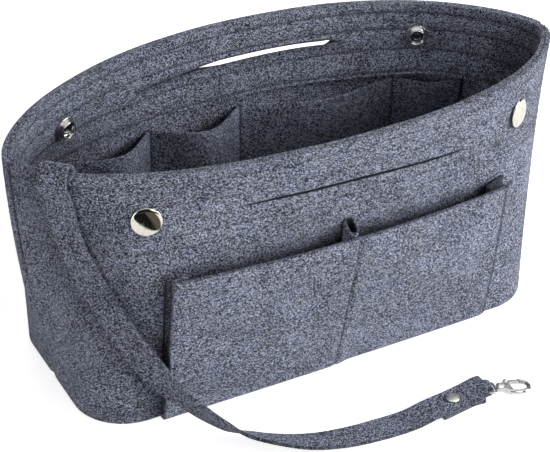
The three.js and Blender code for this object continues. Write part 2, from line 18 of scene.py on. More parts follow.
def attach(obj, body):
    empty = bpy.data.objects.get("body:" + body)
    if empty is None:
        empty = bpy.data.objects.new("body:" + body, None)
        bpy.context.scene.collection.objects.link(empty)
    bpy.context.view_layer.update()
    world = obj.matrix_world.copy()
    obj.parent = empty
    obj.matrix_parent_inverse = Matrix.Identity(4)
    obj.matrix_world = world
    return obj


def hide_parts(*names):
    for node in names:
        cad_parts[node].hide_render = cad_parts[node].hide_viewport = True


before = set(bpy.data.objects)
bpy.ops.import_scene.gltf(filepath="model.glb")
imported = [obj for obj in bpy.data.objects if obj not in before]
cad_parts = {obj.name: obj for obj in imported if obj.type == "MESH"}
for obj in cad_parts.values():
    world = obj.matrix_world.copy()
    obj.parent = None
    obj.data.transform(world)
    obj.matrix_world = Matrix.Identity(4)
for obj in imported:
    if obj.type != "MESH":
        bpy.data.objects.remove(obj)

log = logging.getLogger("organizer")
MM = 0.001
Colour = tuple[float, float, float, float]
Triple = tuple[float, float, float]
Pair = tuple[float, float]


class Side(Enum):
    """Wall of the bag, valued by the direction in which it faces along Y."""

    FRONT = -1
    BACK = 1


class Hand(Enum):
    """End of the bag, valued by its direction along X."""

    LEFT = -1
    RIGHT = 1


class Body(Enum):
    """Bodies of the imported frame."""

    BAG = "bag"
    EYE = "eye"
    HOOK = "hook"
    GATE = "gate"


class Slot(Enum):
    """Material slots of the record."""

    FELT = "felt"
    INNER_FELT = "inner_felt"
    NICKEL = "nickel"
    STEEL = "steel"


class Wire:
    """An output socket whose operators add Math nodes to its graph."""

    def __init__(self, graph: "Graph", socket: bpy.types.NodeSocket) -> None:
        """Keep the graph and the socket."""
        self.graph = graph
        self.socket = socket

    def _math(self, operation: str, first: "Wire | float", second: "Wire | float") -> "Wire":
        """Add one Math node.

        Args:
            operation: Blender's name of the operation.
            first: First value or wire.
            second: Second value or wire.

        Returns:
            The node's result.
        """
        return self.graph.add("ShaderNodeMath", {"operation": operation}, {0: first, 1: second})

    def __add__(self, other: "Wire | float") -> "Wire":
        """Sum."""
        return self._math("ADD", self, other)

    __radd__ = __add__

    def __sub__(self, other: "Wire | float") -> "Wire":
        """Difference."""
        return self._math("SUBTRACT", self, other)

    def __rsub__(self, other: float) -> "Wire":
        """Difference with a number on the left."""
        return self._math("SUBTRACT", other, self)

    def __mul__(self, other: "Wire | float") -> "Wire":
        """Product."""
        return self._math("MULTIPLY", self, other)

    __rmul__ = __mul__

    def maximum(self, other: "Wire | float") -> "Wire":
        """Larger of two values."""
        return self._math("MAXIMUM", self, other)


class Graph:
    """Node graph of one material or world."""

    def __init__(self, owner: bpy.types.Material | bpy.types.World) -> None:
        """Clear the owner's nodes.

        Args:
            owner: Material or world to write to.
        """
        owner.use_nodes = True
        self.tree = owner.node_tree
        self.tree.nodes.clear()

    def add(
        self, kind: str, settings: dict | None = None, sockets: dict | None = None, out: int | str = 0,
    ) -> Wire:
        """Add any node.

        Args:
            kind: The node's type.
            settings: Properties set first; "stops" fills a ramp with (position, colour) pairs.
            sockets: Values or wires by socket name or index.
            out: Output to return.

        Returns:
            The chosen output.
        """
        node = self.tree.nodes.new(kind)
        for key, value in (settings or {}).items():
            if key == "stops":
                self._fill_ramp(node, value)
            else:
                setattr(node, key, value)
        for key, value in (sockets or {}).items():
            if isinstance(value, Wire):
                self.tree.links.new(value.socket, node.inputs[key])
            else:
                node.inputs[key].default_value = value
        return Wire(self, node.outputs[out] if node.outputs else None)

    @staticmethod
    def _fill_ramp(node: bpy.types.Node, stops: Sequence[tuple[float, Colour]]) -> None:
        """Give a colour ramp its stops.

        Args:
            node: The ramp.
            stops: Position and colour of each stop, from left to right.
        """
        elements = node.color_ramp.elements
        while len(elements) < len(stops):
            elements.new(1.0)
        for element, (position, colour) in zip(elements, stops):
            element.position = position
            element.color = colour

    def place(self) -> Wire:
        """Object coordinates."""
        return self.add("ShaderNodeTexCoord", None, None, "Object")

    def stretched(self, place: Wire, scale: Triple, turn: Triple) -> Wire:
        """Scaled and turned coordinates.

        Args:
            place: Coordinates.
            scale: Scale along each axis.
            turn: Turn about each axis, in radians.

        Returns:
            The new coordinates.
        """
        return self.add("ShaderNodeMapping", None, {"Vector": place, "Scale": scale, "Rotation": turn})

    def noise(self, place: Wire, scale: float, detail: float = 2.0, rough: float = 0.5) -> Wire:
        """Soft noise between about 0.25 and 0.75.

        Args:
            place: Coordinates.
            scale: Features for each metre.
            detail: Octaves.
            rough: Weight of the finer octaves.

        Returns:
            The noise value.
        """
        sockets = {"Vector": place, "Scale": scale, "Detail": detail, "Roughness": rough}
        return self.add("ShaderNodeTexNoise", {"noise_dimensions": "3D"}, sockets)

    def cells(self, place: Wire, scale: float) -> Wire:
        """Even random value between 0 and 1 for each small cell.

        Args:
            place: Coordinates.
            scale: Cells for each metre.

        Returns:
            The cell's value.
        """
        settings = {"voronoi_dimensions": "3D", "feature": "F1"}
        cell = self.add("ShaderNodeTexVoronoi", settings, {"Vector": place, "Scale": scale}, "Color")
        return self.add("ShaderNodeSeparateColor", None, {"Color": cell}, "Red")

    def band(self, value: Wire, low: float, high: float) -> Wire:
        """Value spread from low..high to 0..1 with soft ends.

        Args:
            value: Value to spread.
            low: Value that becomes 0.
            high: Value that becomes 1.

        Returns:
            The spread value.
        """
        settings = {"interpolation_type": "SMOOTHSTEP"}
        return self.add("ShaderNodeMapRange", settings, {"Value": value, "From Min": low, "From Max": high})

    def mix(self, factor: Wire | float, first: Wire | Colour, second: Wire | Colour) -> Wire:
        """Mix of two colours.

        Args:
            factor: Share of the second colour.
            first: First colour.
            second: Second colour.

        Returns:
            The mixed colour.
        """
        sockets = {0: factor, 6: first, 7: second}
        return self.add("ShaderNodeMix", {"data_type": "RGBA"}, sockets, 2)

    def close(self, shader: Wire, kind: str = "ShaderNodeOutputMaterial") -> None:
        """Connect a shader to the output.

        Args:
            shader: Surface shader.
            kind: Type of the output node.
        """
        self.add(kind, None, {"Surface": shader})


def grey(level: float) -> Colour:
    """Opaque neutral colour.

    Args:
        level: Linear level.

    Returns:
        The colour.
    """
    return (level, level, level, 1.0)


@dataclass(frozen=True)
class Ramp:
    """Even rise from 0 at one value to 1 at another, level beyond both."""

    start: float
    end: float

    def at(self, value: np.ndarray | float) -> np.ndarray:
        """Height of the rise at a value."""
        return np.clip((value - self.start) / (self.end - self.start), 0, 1)


def eased(part: np.ndarray) -> np.ndarray:
    """Soft step of a share between 0 and 1."""
    return part ** 2 * (3 - 2 * part)


def ridge(distance: np.ndarray, reach: float) -> np.ndarray:
    """Bell curve of a distance, 1 in its middle."""
    return np.exp(-(distance / reach) ** 2)


def dome(radius: float, low: float, high: float, steps: int, power: float = 1.0) -> list[Pair]:
    """Profile of a dome from its top to just above its edge.

    Args:
        radius: Radius of the edge.
        low: Level of the edge.
        high: Level of the top.
        steps: Points of the profile.
        power: Above 1, a flatter edge.

    Returns:
        Radius and level of each point.
    """
    angles = np.linspace(0, 0.5 * math.pi - 0.02, steps)
    return [(radius * math.sin(a), low + (high - low) * math.cos(a) ** power) for a in angles]


@dataclass(frozen=True)
class FeltFinish:
    """Heathered needle felt: dark, middle and pale fibres over bluish and brownish clouds."""

    name: str
    dark: Colour = (0.010, 0.011, 0.018, 1.0)
    blue: Colour = (0.118, 0.134, 0.196, 1.0)
    brown: Colour = (0.150, 0.144, 0.168, 1.0)
    pale: Colour = (0.72, 0.78, 1.0, 1.0)
    shadow: Colour = (0.006, 0.006, 0.009, 1.0)
    fleck_scale: float = 2800.0
    fibre_scale: float = 2200.0
    cloud_scale: float = 45.0
    fibre_stretch: Triple = (0.4, 1.0, 1.0)
    fibre_turn: Triple = (0.3, 0.5, 0.9)
    hue_stretch: Triple = (1.3, 1.3, 1.3)
    hue_turn: Triple = (0.9, 0.4, 0.1)
    fleck_share: float = 0.72
    fibre_share: float = 0.22
    fine_share: float = 0.06
    cloud_share: float = 0.22
    dark_band: Pair = (0.40, 0.49)
    pale_band: Pair = (0.60, 0.71)
    hue_band: Pair = (0.36, 0.64)
    relief: float = 0.0004
    relief_strength: float = 0.7

    def material(self) -> bpy.types.Material:
        """Build the felt's material.

        Returns:
            The material.
        """
        made = bpy.data.materials.new(self.name)
        graph = Graph(made)
        place = graph.place()
        fleck = graph.cells(place, self.fleck_scale)
        along = graph.stretched(place, self.fibre_stretch, self.fibre_turn)
        fibre = graph.cells(along, self.fibre_scale)
        fine = graph.noise(place, self.fleck_scale, 1.0, 0.5)
        cloud = graph.noise(place, self.cloud_scale, 3.0, 0.6)
        turned_place = graph.stretched(place, self.hue_stretch, self.hue_turn)
        hue = graph.noise(turned_place, self.cloud_scale, 2.0, 0.55)
        grain = fleck * self.fleck_share + fibre * self.fibre_share + fine * self.fine_share
        tone = grain + (cloud - 0.5) * self.cloud_share
        low = graph.band(tone, *self.dark_band)
        high = graph.band(tone, *self.pale_band)
        ground = graph.mix(graph.band(hue, *self.hue_band), self.blue, self.brown)
        heather = graph.mix(high, graph.mix(low, self.dark, ground), self.pale)
        # Painted shade: the mesh's shade attribute mixes the felt towards the shadow colour where shade falls
        painted_shade = graph.add("ShaderNodeAttribute", {"attribute_name": "shade"}, None, "Fac")
        colour = graph.mix(painted_shade, heather, self.shadow)
        raised = {"Strength": self.relief_strength, "Distance": self.relief, "Height": grain}
        bump = graph.add("ShaderNodeBump", None, raised)
        shader = graph.add("ShaderNodeBsdfPrincipled", None, {
            "Base Color": colour, "Roughness": 0.94, "Normal": bump,
            "Specular IOR Level": 0.2, "Sheen Weight": 0.1, "Sheen Roughness": 0.6,
            "Sheen Tint": (0.8, 0.85, 1.0, 1.0),
        })
        graph.close(shader)
        return made


@dataclass(frozen=True)
class ThreadFinish:
    """Spun sewing thread, a little darker than the felt."""

    name: str
    dark: Colour = (0.030, 0.033, 0.047, 1.0)
    pale: Colour = (0.105, 0.113, 0.148, 1.0)
    twist_scale: float = 2600.0
    drift_scale: float = 160.0
    twist_share: float = 0.7
    drift_share: float = 0.3
    pale_band: Pair = (0.38, 0.62)
    relief: float = 0.0002

    def material(self) -> bpy.types.Material:
        """Build the thread's material.

        Returns:
            The material.
        """
        made = bpy.data.materials.new(self.name)
        graph = Graph(made)
        place = graph.place()
        twist = graph.noise(place, self.twist_scale, 1.0, 0.5)
        drift = graph.noise(place, self.drift_scale, 1.0, 0.5)
        tone = twist * self.twist_share + drift * self.drift_share
        colour = graph.mix(graph.band(tone, *self.pale_band), self.dark, self.pale)
        bump = graph.add("ShaderNodeBump", None, {"Strength": 0.4, "Distance": self.relief, "Height": twist})
        shader = graph.add("ShaderNodeBsdfPrincipled", None, {
            "Base Color": colour, "Roughness": 0.7, "Normal": bump, "Sheen Weight": 0.1,
        })
        graph.close(shader)
        return made


@dataclass(frozen=True)
class MetalFinish:
    """Plated metal with fine handling marks."""

    name: str
    tint: Colour = (0.64, 0.62, 0.56, 1.0)
    wear_and_shade: Colour = (0.53, 0.51, 0.46, 1.0)
    rough_low: float = 0.05
    rough_high: float = 0.14
    cloud_scale: float = 420.0
    mark_scale: float = 3200.0
    mark_stretch: Triple = (1.0, 0.12, 0.4)
    mark_turn: Triple = (0.4, 0.2, 0.7)
    wear_band: Pair = (0.45, 0.7)
    wear_share: float = 0.6
    rough_band: Pair = (0.4, 0.65)
    relief: float = 0.00004

    def material(self) -> bpy.types.Material:
        """Build the metal's material.

        Returns:
            The material.
        """
        made = bpy.data.materials.new(self.name)
        graph = Graph(made)
        place = graph.place()
        cloud = graph.noise(place, self.cloud_scale, 3.0, 0.6)
        along = graph.stretched(place, self.mark_stretch, self.mark_turn)
        marks = graph.noise(along, self.mark_scale, 2.0, 0.5)
        wear = graph.band(cloud, *self.wear_band)
        colour = graph.mix(wear * self.wear_share, self.tint, self.wear_and_shade)
        span = self.rough_high - self.rough_low
        rough = self.rough_low + span * graph.band(cloud * 0.6 + marks * 0.4, *self.rough_band)
        bump = graph.add("ShaderNodeBump", None, {"Strength": 0.05, "Distance": self.relief, "Height": marks})
        shader = graph.add("ShaderNodeBsdfPrincipled", None, {
            "Base Color": colour, "Metallic": 1.0, "Roughness": rough, "Normal": bump,
        })
        graph.close(shader)
        return made


@dataclass
class Finishes:
    """The materials shared by the pieces."""

    felt: bpy.types.Material
    inner: bpy.types.Material
    thread: bpy.types.Material
    nickel: bpy.types.Material
    plated: bpy.types.Material
    satin: bpy.types.Material
    steel: bpy.types.Material

    @classmethod
    def make(cls) -> "Finishes":
        """Build all materials.

        Returns:
            The set of materials.
        """
        # The inside felt is the same felt with a darker pale: painted shade for the inside of the bag
        inner = FeltFinish("inside_felt", pale=(0.65, 0.71, 0.91, 1.0))
        plated = MetalFinish("white_nickel", (0.54, 0.54, 0.54, 1.0), (0.40, 0.40, 0.41, 1.0), 0.07, 0.18)
        satin = MetalFinish("satin_nickel", (0.86, 0.85, 0.74, 1.0), (0.74, 0.73, 0.63, 1.0), 0.26, 0.42)
        steel = MetalFinish("spring_steel", (0.55, 0.55, 0.57, 1.0), (0.42, 0.42, 0.44, 1.0), 0.22, 0.36)
        return cls(
            FeltFinish("heather_felt").material(), inner.material(), ThreadFinish("sewing_thread").material(),
            MetalFinish("bright_nickel").material(), plated.material(), satin.material(), steel.material(),
        )


def add_object(name: str, points: np.ndarray, faces: Sequence[Sequence[int]]) -> bpy.types.Object:
    """Make a smooth mesh object at the origin.

    Args:
        name: Name of the object and its mesh.
        points: Vertex positions.
        faces: Vertex numbers of each face.

    Returns:
        The object.
    """
    mesh = bpy.data.meshes.new(name)
    mesh.from_pydata(np.asarray(points, float).tolist(), [], [list(face) for face in faces])
    mesh.validate()
    made = bpy.data.objects.new(name, mesh)
    bpy.context.collection.objects.link(made)
    smooth(mesh)
    return made


def smooth(mesh: bpy.types.Mesh) -> None:
    """Shade a mesh smooth."""
    mesh.polygons.foreach_set("use_smooth", [True] * len(mesh.polygons))
    mesh.update()


def settle(piece: bpy.types.Object) -> None:
    """Turn a piece's modifiers into plain mesh.

    Args:
        piece: Object whose modifiers are applied and removed.
    """
    graph = bpy.context.evaluated_depsgraph_get()
    graph.update()
    made = bpy.data.meshes.new_from_object(piece.evaluated_get(graph), depsgraph=graph)
    old = piece.data
    piece.modifiers.clear()
    piece.data = made
    bpy.data.meshes.remove(old)
    made.name = piece.name
    smooth(made)


def mend(mesh: bpy.types.Mesh, reach: float = 1e-7, slivers: bool = False, turn: bool = True) -> None:
    """Merge doubles and turn all faces outwards.

    Args:
        mesh: Closed mesh to mend.
        reach: Distance within which points are merged.
        slivers: Whether faces without an area are dissolved.
        turn: Whether the faces are turned.
    """
    work = bmesh.new()
    work.from_mesh(mesh)
    bmesh.ops.remove_doubles(work, verts=work.verts, dist=reach)
    if slivers:
        bmesh.ops.dissolve_degenerate(work, edges=work.edges, dist=1e-7)
    if turn:
        bmesh.ops.recalc_face_normals(work, faces=work.faces)
    work.to_mesh(mesh)
    work.free()
    smooth(mesh)


def round_edges(piece: bpy.types.Object, width: float, angle: float) -> None:
    """Round a piece's sharp edges.

    Args:
        piece: Piece to round.
        width: Width of the rounding.
        angle: Least turn of an edge that is rounded, in degrees.
    """
    bevel = piece.modifiers.new("round_edges", "BEVEL")
    bevel.width = width
    bevel.segments = 2
    bevel.limit_method = "ANGLE"
    bevel.angle_limit = math.radians(angle)
    settle(piece)


def thick_sheet(
    name: str, outer: np.ndarray, inner: np.ndarray, quads: Sequence[Sequence[int]], soften: float = 0.5 * MM,
    shade: np.ndarray | None = None,
) -> bpy.types.Object:
    """Close two matching sheets into one felt layer with softened cut edges.

    Args:
        name: Name of the piece.
        outer: Points of the first face.
        inner: Matching points of the second face.
        quads: Faces over the first face's points.
        soften: Radius of the cut edges.
        shade: Painted shade of the felt at each point of the first face, or of both faces one after the
            other.

    Returns:
        The piece.
    """
    count = len(outer)
    rims: dict[tuple[int, int], int] = {}
    for quad in quads:
        for start, end in zip(quad, [*quad[1:], quad[0]]):
            rims[(start, end)] = rims.get((start, end), 0) + 1
    faces = [list(quad) for quad in quads]
    faces += [[index + count for index in reversed(quad)] for quad in quads]
    faces += [[end, start, start + count, end + count] for start, end in rims if (end, start) not in rims]
    piece = add_object(name, np.vstack([outer, inner]), faces)
    # Painted shade, stored as a point attribute that the felt material reads
    if shade is not None:
        mark = piece.data.attributes.new("shade", "FLOAT", "POINT")
        mark.data.foreach_set("value", np.resize(np.clip(shade, 0, 1), 2 * count))
    mend(piece.data)
    round_edges(piece, soften, 48)
    return piece


def grid_quads(rows: int, columns: int, closed: bool = False) -> list[list[int]]:
    """Faces of a grid whose points run column by column within each row.

    Args:
        rows: Rows of points.
        columns: Points in each row.
        closed: Whether the last column joins the first.

    Returns:
        Four point numbers for each face.
    """
    faces = []
    for row in range(rows - 1):
        for column in range(columns if closed else columns - 1):
            ahead = (column + 1) % columns
            faces.append([
                row * columns + column, row * columns + ahead,
                (row + 1) * columns + ahead, (row + 1) * columns + column,
            ])
    return faces


def turned(
    name: str, profile: Sequence[Pair], place: Matrix, segments: int = 64, notch: float = 0.0,
) -> bpy.types.Object:
    """Turn a profile about Z and set it in place.

    Args:
        name: Name of the piece.
        profile: Radius and height of each point; a closed ring repeats its first point.
        place: Matrix that carries the turned shape to its seat.
        segments: Steps round the axis.
        notch: Depth of the notches round the widest edge, one in every four steps.

    Returns:
        The piece, with softened edges.
    """
    angles = np.linspace(0, 2 * math.pi, segments, endpoint=False)
    widest = max(radius for radius, _ in profile)
    cut = notch * (0.5 + 0.5 * np.cos(segments / 4 * angles))
    rows = []
    for radius, height in profile:
        reach = radius - cut * (radius > 0.97 * widest)
        rows.append(np.stack([reach * np.cos(angles), reach * np.sin(angles), np.full(segments, height)], -1))
    points = np.vstack(rows)
    placed = points @ np.array(place.to_3x3()).T + np.array(place.translation)
    piece = add_object(name, placed, grid_quads(len(profile), segments, closed=True))
    mend(piece.data, 2e-6, slivers=True)
    round_edges(piece, 0.16 * MM, 40)
    return piece


def dress(
    piece: bpy.types.Object, body: Body, material: bpy.types.Material, node: str | None = None,
) -> bpy.types.Object:
    """Give a piece its material and body, and hide the node it stands for.

    Args:
        piece: Finished piece.
        body: Body that carries it.
        material: Its material.
        node: Solid that it replaces.

    Returns:
        The same piece.
    """
    piece.data.materials.clear()
    piece.data.materials.append(material)
    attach(piece, body.value)
    if node:
        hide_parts(node)
    log.info("%s rides on %s with %d faces", piece.name, body.value, len(piece.data.polygons))
    return piece


@dataclass
class BagShape:
    """Form of the walls: a rounded rectangular foot that turns into a lens-shaped mouth."""

    height: float = 147 * MM
    mouth_half_width: float = 151 * MM
    mouth_half_depth: float = 70 * MM
    width_power: float = 2.33
    depth_power: float = 1.54
    end_drop: float = 6.3 * MM
    base_half_width: float = 130.8 * MM
    base_half_depth: float = 57 * MM
    base_corner: float = 28 * MM
    base_back: float = 12.7 * MM
    front_hollow: float = 0.6
    clearance: float = 0.3 * MM
    panel_felt: float = 2.5 * MM
    facing_felt: float = 2 * MM
    facing_depth: float = 44 * MM
    ripple: float = 0.45 * MM
    seam_bite: float = 0.12 * MM
    left_swell: float = 3.4 * MM
    right_swell: float = 2 * MM
    front_swell_reach: float = 15 * MM
    back_swell_reach: float = 40 * MM
    right_swell_reach: float = 50 * MM
    right_low_swell: float = 0.6
    swell_power: float = 0.8
    # Weight of each wave in the felt, with its turns along the wall and up it
    waves: tuple[Triple, Triple] = ((0.65, 2.6, 0.5), (0.35, 5.7, -1.3))
    samples: int = 4001

    def __post_init__(self) -> None:
        """Measure the mouth's and the foot's edges once."""
        angle = math.pi * (1 - np.linspace(0, 1, self.samples))
        across = np.cos(angle)
        along = np.clip(np.sin(angle), 0, None)
        x = self.mouth_half_width * np.sign(across) * np.abs(across) ** (2 / self.width_power)
        y = self.mouth_half_depth * along ** (2 / self.depth_power)
        z = self.height - self.end_drop * (x / self.mouth_half_width) ** 2
        self.mouth = np.stack([x, y, z], 1)
        self.mouth_share, self.length = self._shares(self.mouth)
        inner = self.base_half_width - self.base_corner
        near = self.base_half_depth - self.base_corner
        turn = np.linspace(0, math.pi / 2, 60)
        left = np.stack([-inner - self.base_corner * np.cos(turn), near + self.base_corner * np.sin(turn)], 1)
        right = left[::-1] * (-1, 1)
        ends = np.array([[-self.base_half_width, 0.0]]), np.array([[self.base_half_width, 0.0]])
        self.base = np.vstack([ends[0], left, right, ends[1]])
        self.base_share, _ = self._shares(self.base)

    @staticmethod
    def _shares(points: np.ndarray) -> tuple[np.ndarray, float]:
        """Share of the length at each point of a line.

        Args:
            points: The line's points.

        Returns:
            The shares and the whole length.
        """
        run = np.concatenate([[0.0], np.cumsum(np.linalg.norm(np.diff(points, axis=0), axis=1))])
        return run / run[-1], float(run[-1])

    def top(self, share: np.ndarray | float) -> np.ndarray:
        """Height of the rim at a share of the wall's length."""
        return np.interp(share, self.mouth_share, self.mouth[:, 2])

    def face(self, side: Side, share: np.ndarray | float, rise: np.ndarray | float) -> np.ndarray:
        """Point of a wall's outer face.

        Args:
            side: Which wall.
            share: Share of the wall's length from the left end.
            rise: Share of its height.

        Returns:
            Points with X, Y, Z last.
        """
        share, rise = np.broadcast_arrays(np.asarray(share, float), np.asarray(rise, float))
        top = [np.interp(share, self.mouth_share, self.mouth[:, k]) for k in range(3)]
        foot = [np.interp(share, self.base_share, self.base[:, k]) for k in range(2)]
        top_y = side.value * top[1]
        foot_y = self.base_back + side.value * foot[1]
        bow = self.front_hollow * np.sin(math.pi * share) ** 2 if side is Side.FRONT else 0.0
        lean = np.clip(rise, 0, None) ** (1 + bow)
        x = foot[0] + (top[0] - foot[0]) * rise + self._swell(side, share, rise)
        return np.stack([x, foot_y + (top_y - foot_y) * lean, top[2] * rise], -1)

    def _swell(self, side: Side, share: np.ndarray, rise: np.ndarray) -> np.ndarray:
        """How far the ends round out along X.

        Args:
            side: Which wall.
            share: Share of the wall's length.
            rise: Share of its height.

        Returns:
            Distance along X.
        """
        reach = self.front_swell_reach if side is Side.FRONT else self.back_swell_reach
        left = ridge(share * self.length, reach)
        right = ridge((1 - share) * self.length, self.right_swell_reach)
        belly = np.sin(math.pi * np.clip(rise, 0, 1)) ** self.swell_power
        fuller = 1 + self.right_low_swell * (1 - rise)
        return self.right_swell * right * fuller - self.left_swell * left * belly

    def inward(self, side: Side, share: np.ndarray, rise: np.ndarray) -> np.ndarray:
        """Level direction into the bag.

        Args:
            side: Which wall.
            share: Share of the wall's length.
            rise: Share of its height.

        Returns:
            Unit vectors.
        """
        share, rise = np.broadcast_arrays(np.asarray(share, float), np.asarray(rise, float))
        step = 0.004
        before = self.face(side, np.clip(share - step, 0, 1), rise)
        ahead = self.face(side, np.clip(share + step, 0, 1), rise) - before
        level = np.stack([side.value * ahead[..., 1], -side.value * ahead[..., 0], np.zeros_like(share)], -1)
        ends = (share <= 0) | (share >= 1)
        level[ends] = np.stack([np.where(share[ends] <= 0, 1.0, -1.0), 0 * share[ends], 0 * share[ends]], -1)
        return level / np.linalg.norm(level, axis=-1, keepdims=True)

    def sway(self, side: Side, share: np.ndarray, rise: np.ndarray) -> np.ndarray:
        """Soft waviness of the felt, none at the foot and the end seams.

        Args:
            side: Which wall.
            share: Share of the wall's length.
            rise: Share of its height.

        Returns:
            Distance inward.
        """
        hold = np.sin(math.pi * np.clip(share, 0, 1)) * np.clip(3 * rise, 0, 1)
        starts = (0.7 * side.value, 1.9)
        wavy = sum(
            weight * np.sin(2 * math.pi * (along * share + up * rise) + start)
            for (weight, along, up), start in zip(self.waves, starts)
        )
        return self.ripple * hold * wavy

    def wall(self, side: Side, share: np.ndarray, rise: np.ndarray, depth: np.ndarray | float) -> np.ndarray:
        """Point inside a wall.

        Args:
            side: Which wall.
            share: Share of the wall's length.
            rise: Share of its height.
            depth: Distance inward of the outer face.

        Returns:
            Points with X, Y, Z last.
        """
        share, rise, depth = np.broadcast_arrays(
            np.asarray(share, float), np.asarray(rise, float), np.asarray(depth, float),
        )
        inset = depth + self.sway(side, share, rise)
        point = self.face(side, share, rise) + inset[..., None] * self.inward(side, share, rise)
        seam = np.where((share <= 0) | (share >= 1), -side.value * self.seam_bite, 0.0)
        point[..., 1] += seam
        return point

    def share_at(self, side: Side, x: float, z: float) -> float:
        """Share of the wall's length at a place.

        Args:
            side: Which wall.
            x: Place along the bag.
            z: Height.

        Returns:
            The share.
        """
        shares = np.linspace(0.02, 0.98, 1921)
        xs = self.face(side, shares, z / self.top(shares))[:, 0]
        return float(np.interp(x, xs, shares))

    def front_at(self, x: np.ndarray | float, z: np.ndarray | float) -> np.ndarray:
        """Y of the front wall's outer face.

        Args:
            x: Place along the bag.
            z: Height.

        Returns:
            The face's Y.
        """
        x, z = np.broadcast_arrays(np.asarray(x, float), np.asarray(z, float))
        shares = np.linspace(0.05, 0.95, 601)
        found = np.empty(x.size)
        for k, (one_x, one_z) in enumerate(zip(x.ravel(), z.ravel())):
            face = self.face(Side.FRONT, shares, one_z / self.top(shares))
            found[k] = np.interp(one_x, face[:, 0], face[:, 1])
        return found.reshape(x.shape)

    def seat(self, side: Side, distance: float, height: float) -> Matrix:
        """Frame on a wall's outer face with Z pointing out of the bag.

        Args:
            side: Which wall.
            distance: Distance along the rim from its middle.
            height: Height above the floor.

        Returns:
            The frame.
        """
        share = 0.5 + distance / self.length
        rise = height / float(self.top(share))
        along = self.face(side, share + 0.01, rise) - self.face(side, share - 0.01, rise)
        up = self.face(side, share, rise + 0.02) - self.face(side, share, rise - 0.02)
        out = Vector(-side.value * np.cross(along, up)).normalized()
        middle = Vector(self.wall(side, np.array(share), np.array(rise), 0.0))
        return Matrix.Translation(middle) @ Vector((0, 0, 1)).rotation_difference(out).to_matrix().to_4x4()


@dataclass
class StitchLine:
    """Path of a sewn row with the direction out of the felt at each point."""

    points: np.ndarray
    out: np.ndarray


@dataclass(frozen=True)
class Slit:
    """Hand slit: its ends along X, its heights at the left, middle and right, its gape and its lips' lean."""

    start: float
    end: float
    heights: Triple
    gape: float
    slope: float = 0.0
    shut: float = 0.0
    lens_power: float = 0.4
    ease_before: float = 0.15
    ease_after: float = 0.13
    far_end: Ramp = Ramp(0.92, 0.99)

    def line(self, part: np.ndarray) -> np.ndarray:
        """Height of the slit along its length.

        Args:
            part: Place from 0 at the left end to 1 at the right.

        Returns:
            The heights.
        """
        left, middle, right = self.heights
        bow = 2 * middle - (left + right) / 2
        return left * (1 - part) ** 2 + 2 * bow * part * (1 - part) + right * part ** 2

    def opening(self, part: np.ndarray) -> np.ndarray:
        """How far the slit stands open: a lens, or closed at its left and open over its right part.

        Args:
            part: Place from 0 at the left end to 1 at the right.

        Returns:
            Distances between the lips.
        """
        if self.shut <= 0:
            return self.gape * (4 * part * (1 - part)) ** self.lens_power
        near = Ramp(self.shut - self.ease_before, self.shut + self.ease_after).at(part)
        return self.gape * eased(near) * (1 - eased(self.far_end.at(part)))


